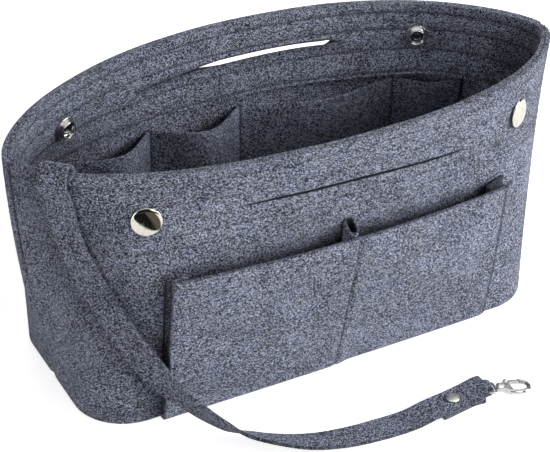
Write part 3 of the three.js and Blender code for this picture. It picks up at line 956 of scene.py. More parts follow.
@dataclass
class Walls:
    """Front and back walls with their rim facings, hand slits and the bottom."""

    shape: BagShape
    finishes: Finishes
    front_slit: Slit = Slit(-57.1 * MM, 68.2 * MM, (121.3 * MM, 120.6 * MM, 116.8 * MM), 1.1 * MM)
    back_slit: Slit = Slit(-57.5 * MM, 64.5 * MM, (122.5 * MM, 126.2 * MM, 124.7 * MM), 2.5 * MM, 0.62, 0.34)
    lip: float = 0.5 * MM
    groove: float = 0.3 * MM
    inner_groove: float = 0.75 * MM
    groove_half: float = 0.95 * MM
    seam_roll: float = 1.9 * MM
    seam_reach: float = 4.5 * MM
    lap: float = 4.2 * MM
    lap_groove: float = 0.9 * MM
    lap_width: float = 0.9 * MM
    lap_rise: Ramp = Ramp(0.4, 0.55)
    columns: int = 60
    # Distances of the columns beside an end seam, and of the first even column
    seam_columns: tuple[float, ...] = (0.0, 0.8, 1.8, 2.8, 3.5, 4.2, 4.9, 5.7)
    even_from: float = 6.7 * MM
    row_step: float = 5.5 * MM
    sewn_room: float = 2.6 * MM
    slit_room: float = 3 * MM
    slit_slack: float = 0.12 * MM
    # Section of a stitch groove: place in half widths and share of its depth
    groove_form: tuple[Pair, ...] = (
        (-2, 0.0), (-1, 0.3), (-0.4, 0.85), (0, 1.0), (0.4, 0.85), (1, 0.3), (2, 0.0),
    )
    front_rows: tuple[float, ...] = (103.5 * MM, 111.5 * MM, 130 * MM, 141.4 * MM)
    back_rows: tuple[float, ...] = (105 * MM, 117.6 * MM, 130.5 * MM, 141 * MM)
    outer_span: Pair = (0.016, 0.984)
    inner_span: Pair = (0.02, 0.98)
    flare: float = 4.5 * MM
    flare_above: float = 0.1
    flare_below: float = 0.02
    flare_power: float = 1.5
    front_flare: float = 0.2
    least_flare: float = 0.12
    # Height and X of the hanging strap's left edge
    strap_edge: tuple[Pair, ...] = (
        (19.7 * MM, -95.5 * MM), (28.6 * MM, -105.1 * MM), (41.7 * MM, -113.1 * MM), (60.4 * MM, -121.7 * MM),
        (78.9 * MM, -129.1 * MM), (108.4 * MM, -137.3 * MM), (140 * MM, -142.7 * MM),
    )
    strap_cover: float = 10 * MM
    sewn_edge: float = 0.4 * MM
    bottom_columns: int = 84
    bottom_rings: tuple[float, ...] = (1.0, 0.985, 0.9, 0.7, 0.4, 0.1)
    bottom_ripple: float = 0.3 * MM
    # Painted shade in the stitch grooves, the lapped end seams, under the facings' lower cut edges and in the
    # slits
    groove_dark: float = 0.1
    inner_groove_dark: float = 0.42
    lap_dark: float = 0.8
    edge_dark: float = 0.6
    lip_dark: float = 0.5
    slit_dark: float = 0.96
    # Painted shade behind the pocket's mouth, with how it fades along the wall and downwards
    pocket_dark: float = 0.8
    pocket_ends: Ramp = Ramp(93.2 * MM, 91.7 * MM)
    pocket_fade: Ramp = Ramp(92 * MM, 81 * MM)
    # Painted shadow of the strap on its left, then the softer one past its right edge
    strap_dark: float = 0.34
    strap_reach: float = 8 * MM
    strap_start: Ramp = Ramp(-1 * MM, 0.0)
    soft_dark: float = 0.27
    soft_reach: float = 17 * MM
    soft_start: Ramp = Ramp(-4.5 * MM, -1.5 * MM)
    soft_foot: Ramp = Ramp(45 * MM, 65 * MM)
    soft_top: Ramp = Ramp(132 * MM, 118 * MM)
    # Painted shade high on the right
    right_dark: float = 0.16
    right_along: Ramp = Ramp(30 * MM, 90 * MM)
    right_up: Ramp = Ramp(95 * MM, 110 * MM)
    # Painted shade inside: towards the bottom, into the ends and low in the left end
    low_dark: float = 0.35
    low_fade: Ramp = Ramp(105 * MM, 30 * MM)
    corner_dark: float = 0.45
    corner_along: Ramp = Ramp(34 * MM, 0.0)
    corner_fade: Ramp = Ramp(142 * MM, 126 * MM)
    sunk_dark: float = 0.6
    sunk_along: Ramp = Ramp(122 * MM, 62 * MM)
    sunk_fade: Ramp = Ramp(133 * MM, 111 * MM)
    lines: list[StitchLine] = field(default_factory=list)

    def _slit(self, side: Side) -> Slit:
        """Slit of a wall."""
        return self.front_slit if side is Side.FRONT else self.back_slit

    def _sewn(self, side: Side) -> tuple[float, ...]:
        """Heights of a wall's sewn rows."""
        return self.front_rows if side is Side.FRONT else self.back_rows

    def _columns(self, side: Side) -> tuple[np.ndarray, int, int]:
        """Column shares, close together at the end seams, with columns at both ends of the slit.

        Args:
            side: Which wall.

        Returns:
            The shares and the numbers of the slit's two end columns.
        """
        slit = self._slit(side)
        start = self.shape.share_at(side, slit.start, slit.heights[0])
        end = self.shape.share_at(side, slit.end, slit.heights[2])
        near = np.array(self.seam_columns) * MM / self.shape.length
        edge = self.even_from / self.shape.length
        left = [near, np.linspace(edge, start, self.columns)[:-1]]
        right = [np.linspace(end, 1 - edge, self.columns), (1 - near)[::-1]]
        first = sum(len(part) for part in left)
        between = np.linspace(start, end, self.columns)[:-1]
        return np.concatenate([*left, between, *right]), first, first + len(between)

    def _levels(self, side: Side, low: float) -> tuple[list[Pair], list[Pair]]:
        """Level rows below and above the slit, with the share of the stitch groove on each.

        Args:
            side: Which wall.
            low: Lowest row.

        Returns:
            Height and groove share of each row, in two lists.
        """
        heights = self._slit(side).heights
        floor, ceiling = min(heights) - self.slit_room, max(heights) + self.slit_room
        sewn = self._sewn(side)
        rows: dict[float, float] = {low: 0.0, low + 0.9 * MM: 0.0, self.shape.height: 0.0}
        for z in np.arange(low, self.shape.height - 1 * MM, self.row_step):
            if min(abs(z - s) for s in sewn) > self.sewn_room and not floor < z < ceiling:
                rows[float(z)] = 0.0
        for s in sewn:
            for shift, share in self.groove_form:
                z = s + shift * self.groove_half
                if low < z < self.shape.height:
                    rows[z] = share
        middle = sum(heights) / 3
        ordered = sorted(rows.items())
        return [row for row in ordered if row[0] < middle], [row for row in ordered if row[0] > middle]

    def _heights(
        self, side: Side, share: np.ndarray, low: float, away: float,
    ) -> tuple[np.ndarray, np.ndarray, int]:
        """Heights of all rows of one felt face.

        Args:
            side: Which wall.
            share: Column shares.
            low: Lowest row.
            away: Distance of the face from the wall's innermost face.

        Returns:
            Heights by row and column, the groove share of each row and the number of the lower lip's row.
        """
        slit = self._slit(side)
        _, first, last = self._columns(side)
        top = self.shape.top(share)
        part = np.clip((share - share[first]) / (share[last] - share[first]), 0, 1)
        gap = slit.opening(part)
        lean = slit.slope * away * gap / slit.gape
        line = slit.line(part) - lean
        half = self.slit_slack * np.sin(math.pi * part) + gap / 2
        below, above = self._levels(side, low)
        rows = [z * top / self.shape.height for z, _ in below]
        rows += [line - half - self.lip, line - half, line + half, line + half + self.lip]
        rows += [z * top / self.shape.height for z, _ in above]
        grooves = [g for _, g in below] + [0.0] * 4 + [g for _, g in above]
        return np.array(rows), np.array(grooves), len(below) + 1

    def _layer(self, name: str, side: Side, low: float, depths: Pair) -> bpy.types.Object:
        """Build one felt layer of a wall with its slit and stitch grooves.

        Args:
            name: Name of the piece.
            side: Which wall.
            low: Height of its lower edge.
            depths: Depth of its outer and inner face.

        Returns:
            The piece.
        """
        shape = self.shape
        stack = shape.panel_felt + shape.clearance + shape.facing_felt
        share, first, last = self._columns(side)
        count = len(share)
        end = np.minimum(share, 1 - share) * shape.length
        roll = self.seam_roll * np.clip(1 - end / self.seam_reach, 0, 1) ** 2
        lap = ridge(end - self.lap, self.lap_width)
        faces, shades = [], []
        for depth, sign in ((depths[0], 1), (depths[1], -1)):
            heights, grooves, lip = self._heights(side, share, low, stack - depth)
            innermost = depth >= stack
            deep = self.inner_groove if innermost else self.groove
            rise = heights / shape.top(share)
            inset = depth + sign * deep * grooves[:, None] + self._spread(side, rise, share, depths[0])
            # Painted shade: grooves, lap line, pocket mouth and strap shadows outside, depth inside, facing's
            # lower edge and slit lips
            sewn_dark = self.inner_groove_dark if innermost else self.groove_dark
            dark = sewn_dark * grooves[:, None] + np.zeros_like(heights)
            if depth <= 0:
                inset = inset + roll
                if side is Side.FRONT:
                    high = self.lap_rise.at(rise)
                    inset = inset + self.lap_groove * lap * high
                    dark = dark + self.lap_dark * lap * high + self._front_shade(share, rise, heights)
            elif sign < 0:
                dark = dark + self._depth_shade(share, heights)
            if innermost:
                dark[0] = self.edge_dark
            if side is Side.BACK:
                dark[lip - 1:lip + 3, first:last + 1] = self.lip_dark
            dark[lip:lip + 2, first:last + 1] = self.slit_dark
            shades.append(dark.ravel())
            faces.append(shape.wall(side, share[None, :], rise, inset).reshape(-1, 3))
        quads = [quad for quad in grid_quads(len(heights), count) if quad[0] // count != lip]
        merge = {
            (lip + 1) * count + column: lip * count + column
            for column in range(count) if column <= first or column >= last
        }
        quads = [[merge.get(index, index) for index in quad] for quad in quads]
        used = sorted({index for quad in quads for index in quad})
        number = {index: k for k, index in enumerate(used)}
        quads = [[number[index] for index in quad] for quad in quads]
        shade = np.concatenate([dark[used] for dark in shades])
        return thick_sheet(name, faces[0][used], faces[1][used], quads, shade=shade)

    def _front_shade(self, share: np.ndarray, rise: np.ndarray, heights: np.ndarray) -> np.ndarray:
        """Painted shade on the front wall behind the pocket's mouth, beside the strap and high on the right.

        Args:
            share: Column shares.
            rise: Share of the height at each point.
            heights: Height of each point.

        Returns:
            Painted shade of each point.
        """
        x = self.shape.face(Side.FRONT, share[None, :], rise)[..., 0]
        mouth = self.pocket_dark * self.pocket_ends.at(np.abs(x)) * self.pocket_fade.at(heights)
        beside = np.interp(heights, *zip(*self.strap_edge)) - x
        strap = self.strap_dark * ridge(beside, self.strap_reach) * self.strap_start.at(beside)
        past = -beside - self.strap_cover
        band = self.soft_foot.at(heights) * self.soft_top.at(heights)
        soft = self.soft_dark * ridge(past, self.soft_reach) * self.soft_start.at(past) * band
        away = self.right_dark * self.right_along.at(x) * self.right_up.at(heights)
        return np.maximum(np.maximum(mouth, away), np.maximum(strap, soft))

    def _depth_shade(self, share: np.ndarray, heights: np.ndarray) -> np.ndarray:
        """Painted shade of the inside, towards the bottom, into the two ends and low in the left end.

        Args:
            share: Column shares.
            heights: Height of each point.

        Returns:
            Painted shade of each point.
        """
        left = share * self.shape.length
        end = np.minimum(left, self.shape.length - left)
        low = self.low_dark * self.low_fade.at(heights)
        corner = self.corner_dark * self.corner_along.at(end) * self.corner_fade.at(heights)
        sunk = self.sunk_dark * self.sunk_along.at(left) * self.sunk_fade.at(heights)
        return np.maximum(np.maximum(low, corner), sunk)

    def _spread(self, side: Side, rise: np.ndarray, share: np.ndarray, depth: float) -> np.ndarray:
        """How far a facing's lower edge stands off its wall.

        Args:
            side: Which wall.
            rise: Share of the height at each point.
            share: Column shares.
            depth: Depth of the layer's outer face; a wall itself has none.

        Returns:
            Distance inward.
        """
        if depth <= 0:
            return np.zeros_like(rise)
        sewn = self._sewn(side)[0] / self.shape.height
        below = Ramp(sewn + self.flare_above, sewn - self.flare_below).at(rise) ** self.flare_power
        right = np.clip((share - 0.5) / 0.25, self.least_flare, 1) if side is Side.BACK else self.front_flare
        ends = np.clip(12 * np.minimum(share, 1 - share), 0, 1)
        return self.flare * below * right * ends

    def _sew(self, side: Side, depth: float, out: int, span: Pair, heights: Iterable[float]) -> None:
        """Note rows of stitches along a wall.

        Args:
            side: Which wall.
            depth: Depth of the sewn surface.
            out: 1 for the outer face, -1 for the inner face.
            span: Shares between which the rows run.
            heights: Height of each row at the middle of the wall.
        """
        share = np.linspace(*span, 400)
        for z in heights:
            rise = np.full_like(share, z / self.shape.height)
            spread = self._spread(side, rise, share, depth) if out < 0 else 0.0
            points = self.shape.wall(side, share, rise, depth + spread)
            self.lines.append(StitchLine(points, -out * self.shape.inward(side, share, rise)))

    def build(self) -> None:
        """Build and dress both walls, both facings and the bottom."""
        shape = self.shape
        start = shape.panel_felt + shape.clearance
        stack = start + shape.facing_felt
        low = shape.height - shape.facing_depth
        for side in Side:
            word = side.name.lower()
            panel = self._layer(f"{word}_wall", side, 0.0, (0.0, shape.panel_felt))
            dress(panel, Body.BAG, self.finishes.felt, f"{word}_panel")
            facing = self._layer(f"{word}_facing", side, low, (start, stack))
            dress(facing, Body.BAG, self.finishes.inner, f"{word}_rim_facing")
            rows = self._sewn(side)
            self._sew(side, self.groove, 1, self.outer_span, rows)
            self._sew(side, stack - self.inner_groove, -1, self.inner_span, rows)
        self._build_bottom()

    def _build_bottom(self) -> None:
        """Build the bottom sheet inside the foot of the walls."""
        shape = self.shape
        inset = shape.panel_felt - self.sewn_edge
        count = self.bottom_columns
        loop = []
        for side in (Side.FRONT, Side.BACK):
            share = np.linspace(0, 1, count, endpoint=False)
            share = share if side is Side.FRONT else 1 - share
            zero = np.zeros_like(share)
            loop.append(shape.face(side, share, zero) + inset * shape.inward(side, share, zero))
        edge = np.vstack(loop)
        middle = np.array([0.0, shape.base_back, 0.0])
        rings = np.array([middle + (edge - middle) * scale for scale in self.bottom_rings])
        lower = np.vstack([rings.reshape(-1, 3), middle])
        upper = lower + (0, 0, shape.panel_felt)
        upper[:, 2] += self.bottom_ripple * np.sin(70 * lower[:, 0]) * np.sin(60 * lower[:, 1] + 1)
        quads = grid_quads(len(rings), 2 * count, closed=True)
        last = (len(rings) - 1) * 2 * count
        hub = len(lower) - 1
        quads += [[last + k, last + (k + 1) % (2 * count), hub] for k in range(2 * count)]
        bottom = thick_sheet("bottom_sheet", lower, upper, quads)
        dress(bottom, Body.BAG, self.finishes.inner, "bottom_panel")


@dataclass
class OuterPocket:
    """Pocket on the front: a face sheet, two folded sides and a pen loop."""

    shape: BagShape
    finishes: Finishes
    half_width: float = 93.3 * MM
    height: float = 89 * MM
    foot_depth: float = 5 * MM
    corner_spread: float = 12.2 * MM
    middle_spread: float = 18.9 * MM
    left_flare: float = 3 * MM
    right_tuck: float = 1.7 * MM
    foot_radius: float = 4 * MM
    bellows_felt: float = 1.5 * MM
    bellows_fold: float = 8.6 * MM
    bellows_low: float = 6 * MM
    right_tail: float = 5 * MM
    loop_place: float = 1.8 * MM
    loop_width: float = 5.9 * MM
    loop_depth: float = 9.2 * MM
    loop_felt: float = 1.3 * MM
    loop_round: float = 2.9 * MM
    loop_low: float = 61 * MM
    loop_high: float = 90.5 * MM
    seam_at: float = 0.4 * MM
    seam_lean: float = 0.033
    tuck: float = 0.8 * MM
    wing: float = 0.064
    wing_bend: float = 0.45
    loop_slant: float = 6 * MM
    face_power: float = 0.75
    wing_taper: float = 0.9
    seam_draw: float = 1.5 * MM
    right_reach: float = 9 * MM
    face_ripple: float = 0.5 * MM
    # Painted shade in the face's sewn middle, along its right edge and on its back
    seam_dark: float = 0.25
    seam_dark_reach: float = 0.7 * MM
    edge_dark: float = 0.75
    edge_dark_reach: float = 0.014
    back_dark: float = 0.45
    # Painted shade of the folded sides at shares of their length, and its least share at the lit top edge
    fold_shares: tuple[float, ...] = (0, 0.03, 0.1, 0.25, 0.5, 1)
    left_fold_dark: tuple[float, ...] = (0.96, 0.5, 0.5, 0.85, 0.96, 0.85)
    right_fold_dark: tuple[float, ...] = (0.85, 0.85, 0.9, 0.95, 0.96, 0.9)
    left_fold_top: float = 0.2
    right_fold_top: float = 0.85
    fold_top_reach: float = 5 * MM
    # Painted shade on the pen loop's outer and inner faces
    loop_dark: Pair = (0.3, 0.93)
    lines: list[StitchLine] = field(default_factory=list)

    def front(self, across: np.ndarray, z: np.ndarray) -> np.ndarray:
        """Y of the pocket's outer face.

        Args:
            across: Place from -1 at the left edge to 1 at the right, and beyond 1 on the turned-back edge.
            z: Height.

        Returns:
            The face's Y.
        """
        foot = self.shape.base_back - self.shape.base_half_depth - self.foot_depth
        spread = self.corner_spread + (self.middle_spread - self.corner_spread) * (1 - across ** 2)
        wing = self.half_width * np.clip(across - 1, 0, None)
        bend = self.wing_bend * wing * np.clip(z / self.height, 0, 1)
        return foot - spread * np.clip(z / self.height, 0, None) ** self.face_power + bend

    def along(self, across: np.ndarray, z: np.ndarray | float) -> np.ndarray:
        """X on the pocket's face, whose left edge runs out towards the foot.

        Args:
            across: Place from -1 at the left edge to 1 at the right.
            z: Height.

        Returns:
            The face's X.
        """
        below = 1 - np.minimum(z / self.height, 1)
        wing = np.clip(across - 1, 0, None) * (1 - self.wing_taper * below)
        flare = np.where(across < 0, self.left_flare * below, 0.0)
        return np.minimum(across, 1) * (self.half_width + flare) + wing * self.half_width

    def _tucked(self, x: np.ndarray, z: float) -> np.ndarray:
        """How far the face is drawn in: at its sewn middle, and low on its right half.

        Args:
            x: Places along the bag.
            z: Height.

        Returns:
            Distances towards the wall.
        """
        seam = self.seam_at + self.seam_lean * z
        right = np.clip((x - seam) / self.right_reach, 0, 1)
        low = np.clip(1 - z / self.height, 0, 1)
        sewn = ridge(x - seam, self.seam_draw) + ridge(x - self.half_width, self.seam_draw)
        return self.tuck * sewn + self.right_tuck * low * eased(right)

    def _face_rows(self, across: np.ndarray, inset: float) -> np.ndarray:
        """Rows of the face sheet from its turned-under foot to its top edge.

        Args:
            across: Column places.
            inset: Distance inward of the outer face.

        Returns:
            Points by row and column.
        """
        x = self.along(across, 0.0)
        wall = self.shape.front_at(x, 2 * MM) - self.shape.clearance
        rows = [np.stack([x, wall, np.full_like(x, inset)], -1)]
        start = self.front(across, np.full_like(across, self.foot_radius)) + self.foot_radius
        start = start + self._tucked(x, self.foot_radius)
        radius = self.foot_radius - inset
        for angle in np.linspace(0, math.pi / 2, 7):
            z = np.full_like(x, self.foot_radius - radius * math.cos(angle))
            rows.append(np.stack([x, np.minimum(start - radius * math.sin(angle), wall), z], -1))
        for z in np.linspace(self.foot_radius, self.height, 22)[1:]:
            level = np.full_like(x, z)
            place = self.along(across, z)
            soft = np.sin(3.1 * across + 0.05 * z / MM) * np.sin(math.pi * z / self.height)
            y = self.front(across, level) + inset + self._tucked(place, z) + self.face_ripple * soft
            rows.append(np.stack([place, y, level], -1))
        return np.array(rows)

    def build(self) -> None:
        """Build and dress the pocket's pieces."""
        self._build_face()
        for hand in Hand:
            self._build_bellows(hand)
        self._build_loop()

    def _build_face(self) -> None:
        """Build the face sheet with its sewn middle."""
        across = np.unique(np.concatenate([
            np.linspace(-1, 1, 49), np.linspace(-0.05, 0.13, 37), np.linspace(0.968, 1 + self.wing, 13),
        ]))
        outer = self._face_rows(across, 0.0)
        inner = self._face_rows(across, self.shape.panel_felt)
        quads = grid_quads(outer.shape[0], len(across))
        seam = self.seam_at + self.seam_lean * outer[..., 2]
        # Painted shade in the crease of the sewn middle, along the right edge and on the back face
        sewn = self.seam_dark * ridge(outer[..., 0] - seam, self.seam_dark_reach)
        edge = self.edge_dark * ridge(across - 1, self.edge_dark_reach)
        shade = np.concatenate([(sewn + edge).ravel(), np.full(sewn.size, self.back_dark)])
        face = thick_sheet("pocket_face", outer.reshape(-1, 3), inner.reshape(-1, 3), quads, shade=shade)
        dress(face, Body.BAG, self.finishes.felt, "pocket_front")
        z = np.linspace(3 * MM, self.height - 1.5 * MM, 120)
        x = self.seam_at + self.seam_lean * z
        y = self.front(x / self.half_width, z) + np.array([float(self._tucked(a, b)) for a, b in zip(x, z)])
        points = np.stack([x, y, z], -1)
        self.lines.append(StitchLine(points, np.tile([0.0, -1.0, 0.0], (len(z), 1))))

    def _build_bellows(self, hand: Hand) -> None:
        """Build one folded side.

        Args:
            hand: Which end of the pocket.
        """
        shares = np.linspace(0, 1, 41)
        heights = np.linspace(self.bellows_low, self.height, 22)
        layers = []
        for layer in (0.0, 1.0):
            rows = [self._bellows_row(hand, shares, layer, z) for z in heights]
            layers.append(np.array(rows).reshape(-1, 3))
        quads = grid_quads(len(heights), len(shares))
        at_left = hand is Hand.LEFT
        # Painted shade inside the folds, less of it towards the lit top edge
        folded = np.interp(shares, self.fold_shares, self.left_fold_dark if at_left else self.right_fold_dark)
        least = self.left_fold_top if at_left else self.right_fold_top
        lit = np.clip((self.height - heights) / self.fold_top_reach, least, 1)
        shade = (lit[:, None] * folded).ravel()
        word = f"pocket_{hand.name.lower()}"
        piece = thick_sheet(f"{word}_fold", layers[0], layers[1], quads, 0.3 * MM, shade)
        dress(piece, Body.BAG, self.finishes.inner, f"{word}_bellows")

    def _bellows_row(self, hand: Hand, shares: np.ndarray, layer: float, z: float) -> np.ndarray:
        """One level of a folded side: a leg on the wall, a tight fold and a leg on the face.

        Args:
            hand: Which end of the pocket.
            shares: Shares of the folded strip's length.
            layer: 0 or 1 for the strip's two faces.
            z: Height.

        Returns:
            Points of the row.
        """
        rise = (z - self.bellows_low) / (self.height - self.bellows_low)
        end = np.array(float(hand.value))
        edge = abs(float(self.along(end, z)))
        wall = float(self.shape.front_at(hand.value * edge, z))
        seam = wall - self.shape.clearance - self.bellows_felt / 2
        mouth = float(self.front(end, np.array(z)))
        lip = mouth + self.shape.panel_felt + self.shape.clearance + self.bellows_felt / 2
        half = (seam - lip) / 2
        fold = min(half, max(0.95 * MM, 0.3 * half))
        leg = self.bellows_fold * (0.5 + 0.5 * rise) - fold
        angle = np.clip(2 * shares - 1, -0.5, 0.5) * math.pi
        part = np.minimum(np.minimum(4 * shares, 4 * (1 - shares)), 1)
        offset = fold + (half - fold) * (1 - part) + self.bellows_felt * (layer - 0.5)
        tail = self.right_tail if hand is Hand.RIGHT else 0.0
        reach = np.where(shares < 0.5, tail * (1 - part) * rise, 0.0)
        x = hand.value * (edge + reach - leg * part - offset * np.cos(angle))
        y = (seam + lip) / 2 - offset * np.sin(angle)
        toward = np.clip((y - lip) / (seam - lip), 0, 1)
        level = np.full_like(x, z)
        wall_shift = self.shape.front_at(x, level) - wall
        face_shift = self.front(x / edge, level) - mouth
        return np.stack([x, y + wall_shift * toward + face_shift * (1 - toward), level], -1)

    def _build_loop(self) -> None:
        """Build the pen loop between the wall and the pocket's middle."""
        heights = np.linspace(self.loop_low, self.loop_high, 14)
        layers = []
        for inset in (0.0, self.loop_felt):
            ring = self._loop_ring(inset)
            rows = []
            for z in heights:
                low = np.array(min(z, self.height))
                wall = float(self.shape.front_at(self.loop_place, z))
                face = float(self.front(np.array(self.loop_place / self.half_width), low))
                middle = (wall + face + self.shape.panel_felt) / 2
                rise = (z - self.loop_low) / (self.loop_high - self.loop_low)
                level = z + self.loop_slant * rise ** 3 * (0.5 + ring[:, 1] / self.loop_depth)
                rows.append(np.stack([ring[:, 0] + self.loop_place, ring[:, 1] + middle, level], -1))
            layers.append(np.array(rows).reshape(-1, 3))
        quads = grid_quads(len(heights), len(ring), closed=True)
        # Painted shade: light on the outer face, dark in the loop's hole
        shade = np.repeat(self.loop_dark, len(layers[0]))
        loop = thick_sheet("pen_sleeve", layers[0], layers[1], quads, 0.25 * MM, shade)
        dress(loop, Body.BAG, self.finishes.felt, "pen_loop")

    def _loop_ring(self, inset: float) -> np.ndarray:
        """Section of the pen loop.

        Args:
            inset: Distance inward of its outer face.

        Returns:
            Points round the section.
        """
        half_x = self.loop_width / 2 - inset
        half_y = self.loop_depth / 2 - inset
        radius = self.loop_round - inset
        points = []
        for quarter in range(4):
            centre_x = (half_x - radius) * (1 if quarter in (0, 3) else -1)
            centre_y = (half_y - radius) * (1 if quarter in (0, 1) else -1)
            for angle in np.linspace(0, math.pi / 2, 7) + quarter * math.pi / 2:
                points.append((centre_x + radius * math.cos(angle), centre_y + radius * math.sin(angle)))
        return np.array(points)


@dataclass
class InnerPockets:
    """Strip sewn to the back wall so that it stands off in four pockets."""

    shape: BagShape
    finishes: Finishes
    felt: float = 2 * MM
    low: float = 4.5 * MM
    high: float = 97 * MM
    seams: tuple[float, ...] = (-104 * MM, -50 * MM, 5 * MM, 97 * MM, 138 * MM)
    bulges: tuple[float, ...] = (14 * MM, 17 * MM, 13 * MM, 9 * MM)
    bulge_power: float = 1.2
    foot_bulge: float = 0.25
    # Painted shade in the seams' creases and towards the foot
    seam_dark: float = 0.8
    seam_dark_reach: float = 0.8 * MM
    foot_dark: float = 0.4
    lines: list[StitchLine] = field(default_factory=list)

    def bulge(self, distance: np.ndarray) -> np.ndarray:
        """Distance of the strip's mouth from the wall.

        Args:
            distance: Distance along the rim from the middle.

        Returns:
            The strip's distance inward.
        """
        found = np.zeros_like(distance)
        for start, end, depth in zip(self.seams, self.seams[1:], self.bulges):
            inside = (distance >= start) & (distance <= end)
            share = np.clip((distance - start) / (end - start), 0, 1)
            found = np.where(inside, depth * np.sin(math.pi * share) ** self.bulge_power, found)
        return found

    def build(self) -> None:
        """Build and dress the strip."""
        shape = self.shape
        near = np.array([0, 0.5, 1.1]) * MM
        pieces = [
            np.concatenate([a + near, np.linspace(a + 2.5 * MM, b - 2.5 * MM, 22), b - near[:0:-1]])
            for a, b in zip(self.seams, self.seams[1:])
        ]
        distance = np.concatenate([*pieces, [self.seams[-1]]])
        share = 0.5 + distance / shape.length
        levels = np.linspace(0, 1, 20)
        layers = []
        for thickness in (0.0, self.felt):
            rows = []
            for rise in levels:
                z = self.low + (self.high - self.low) * rise
                stand = self.bulge(distance) * (self.foot_bulge + (1 - self.foot_bulge) * rise)
                depth = shape.panel_felt + shape.clearance + stand + thickness
                rows.append(shape.wall(Side.BACK, share, z / shape.top(share), depth))
            layers.append(np.array(rows).reshape(-1, 3))
        quads = grid_quads(len(levels), len(distance))
        # Painted shade along the seams and darker towards the foot
        away = np.min(np.abs(distance[:, None] - np.array(self.seams)), axis=1)
        sewn = self.seam_dark * ridge(away, self.seam_dark_reach)
        shade = np.maximum(sewn[None, :], self.foot_dark * (1 - levels[:, None])).ravel()
        strip = thick_sheet("inner_pockets", layers[0], layers[1], quads, shade=shade)
        dress(strip, Body.BAG, self.finishes.inner, "inner_pocket_strip")
        for seam in self.seams[1:-1]:
            self._sew_seam(seam)

    def _sew_seam(self, seam: float) -> None:
        """Note the stitches of one upright seam.

        Args:
            seam: Distance along the rim from the middle.
        """
        z = np.linspace(self.low + 2 * MM, self.high - 1 * MM, 100)
        share = np.full_like(z, 0.5 + seam / self.shape.length)
        rise = z / self.shape.top(share)
        depth = self.shape.panel_felt + self.shape.clearance + self.felt
        points = self.shape.wall(Side.BACK, share, rise, depth)
        self.lines.append(StitchLine(points, self.shape.inward(Side.BACK, share, rise)))


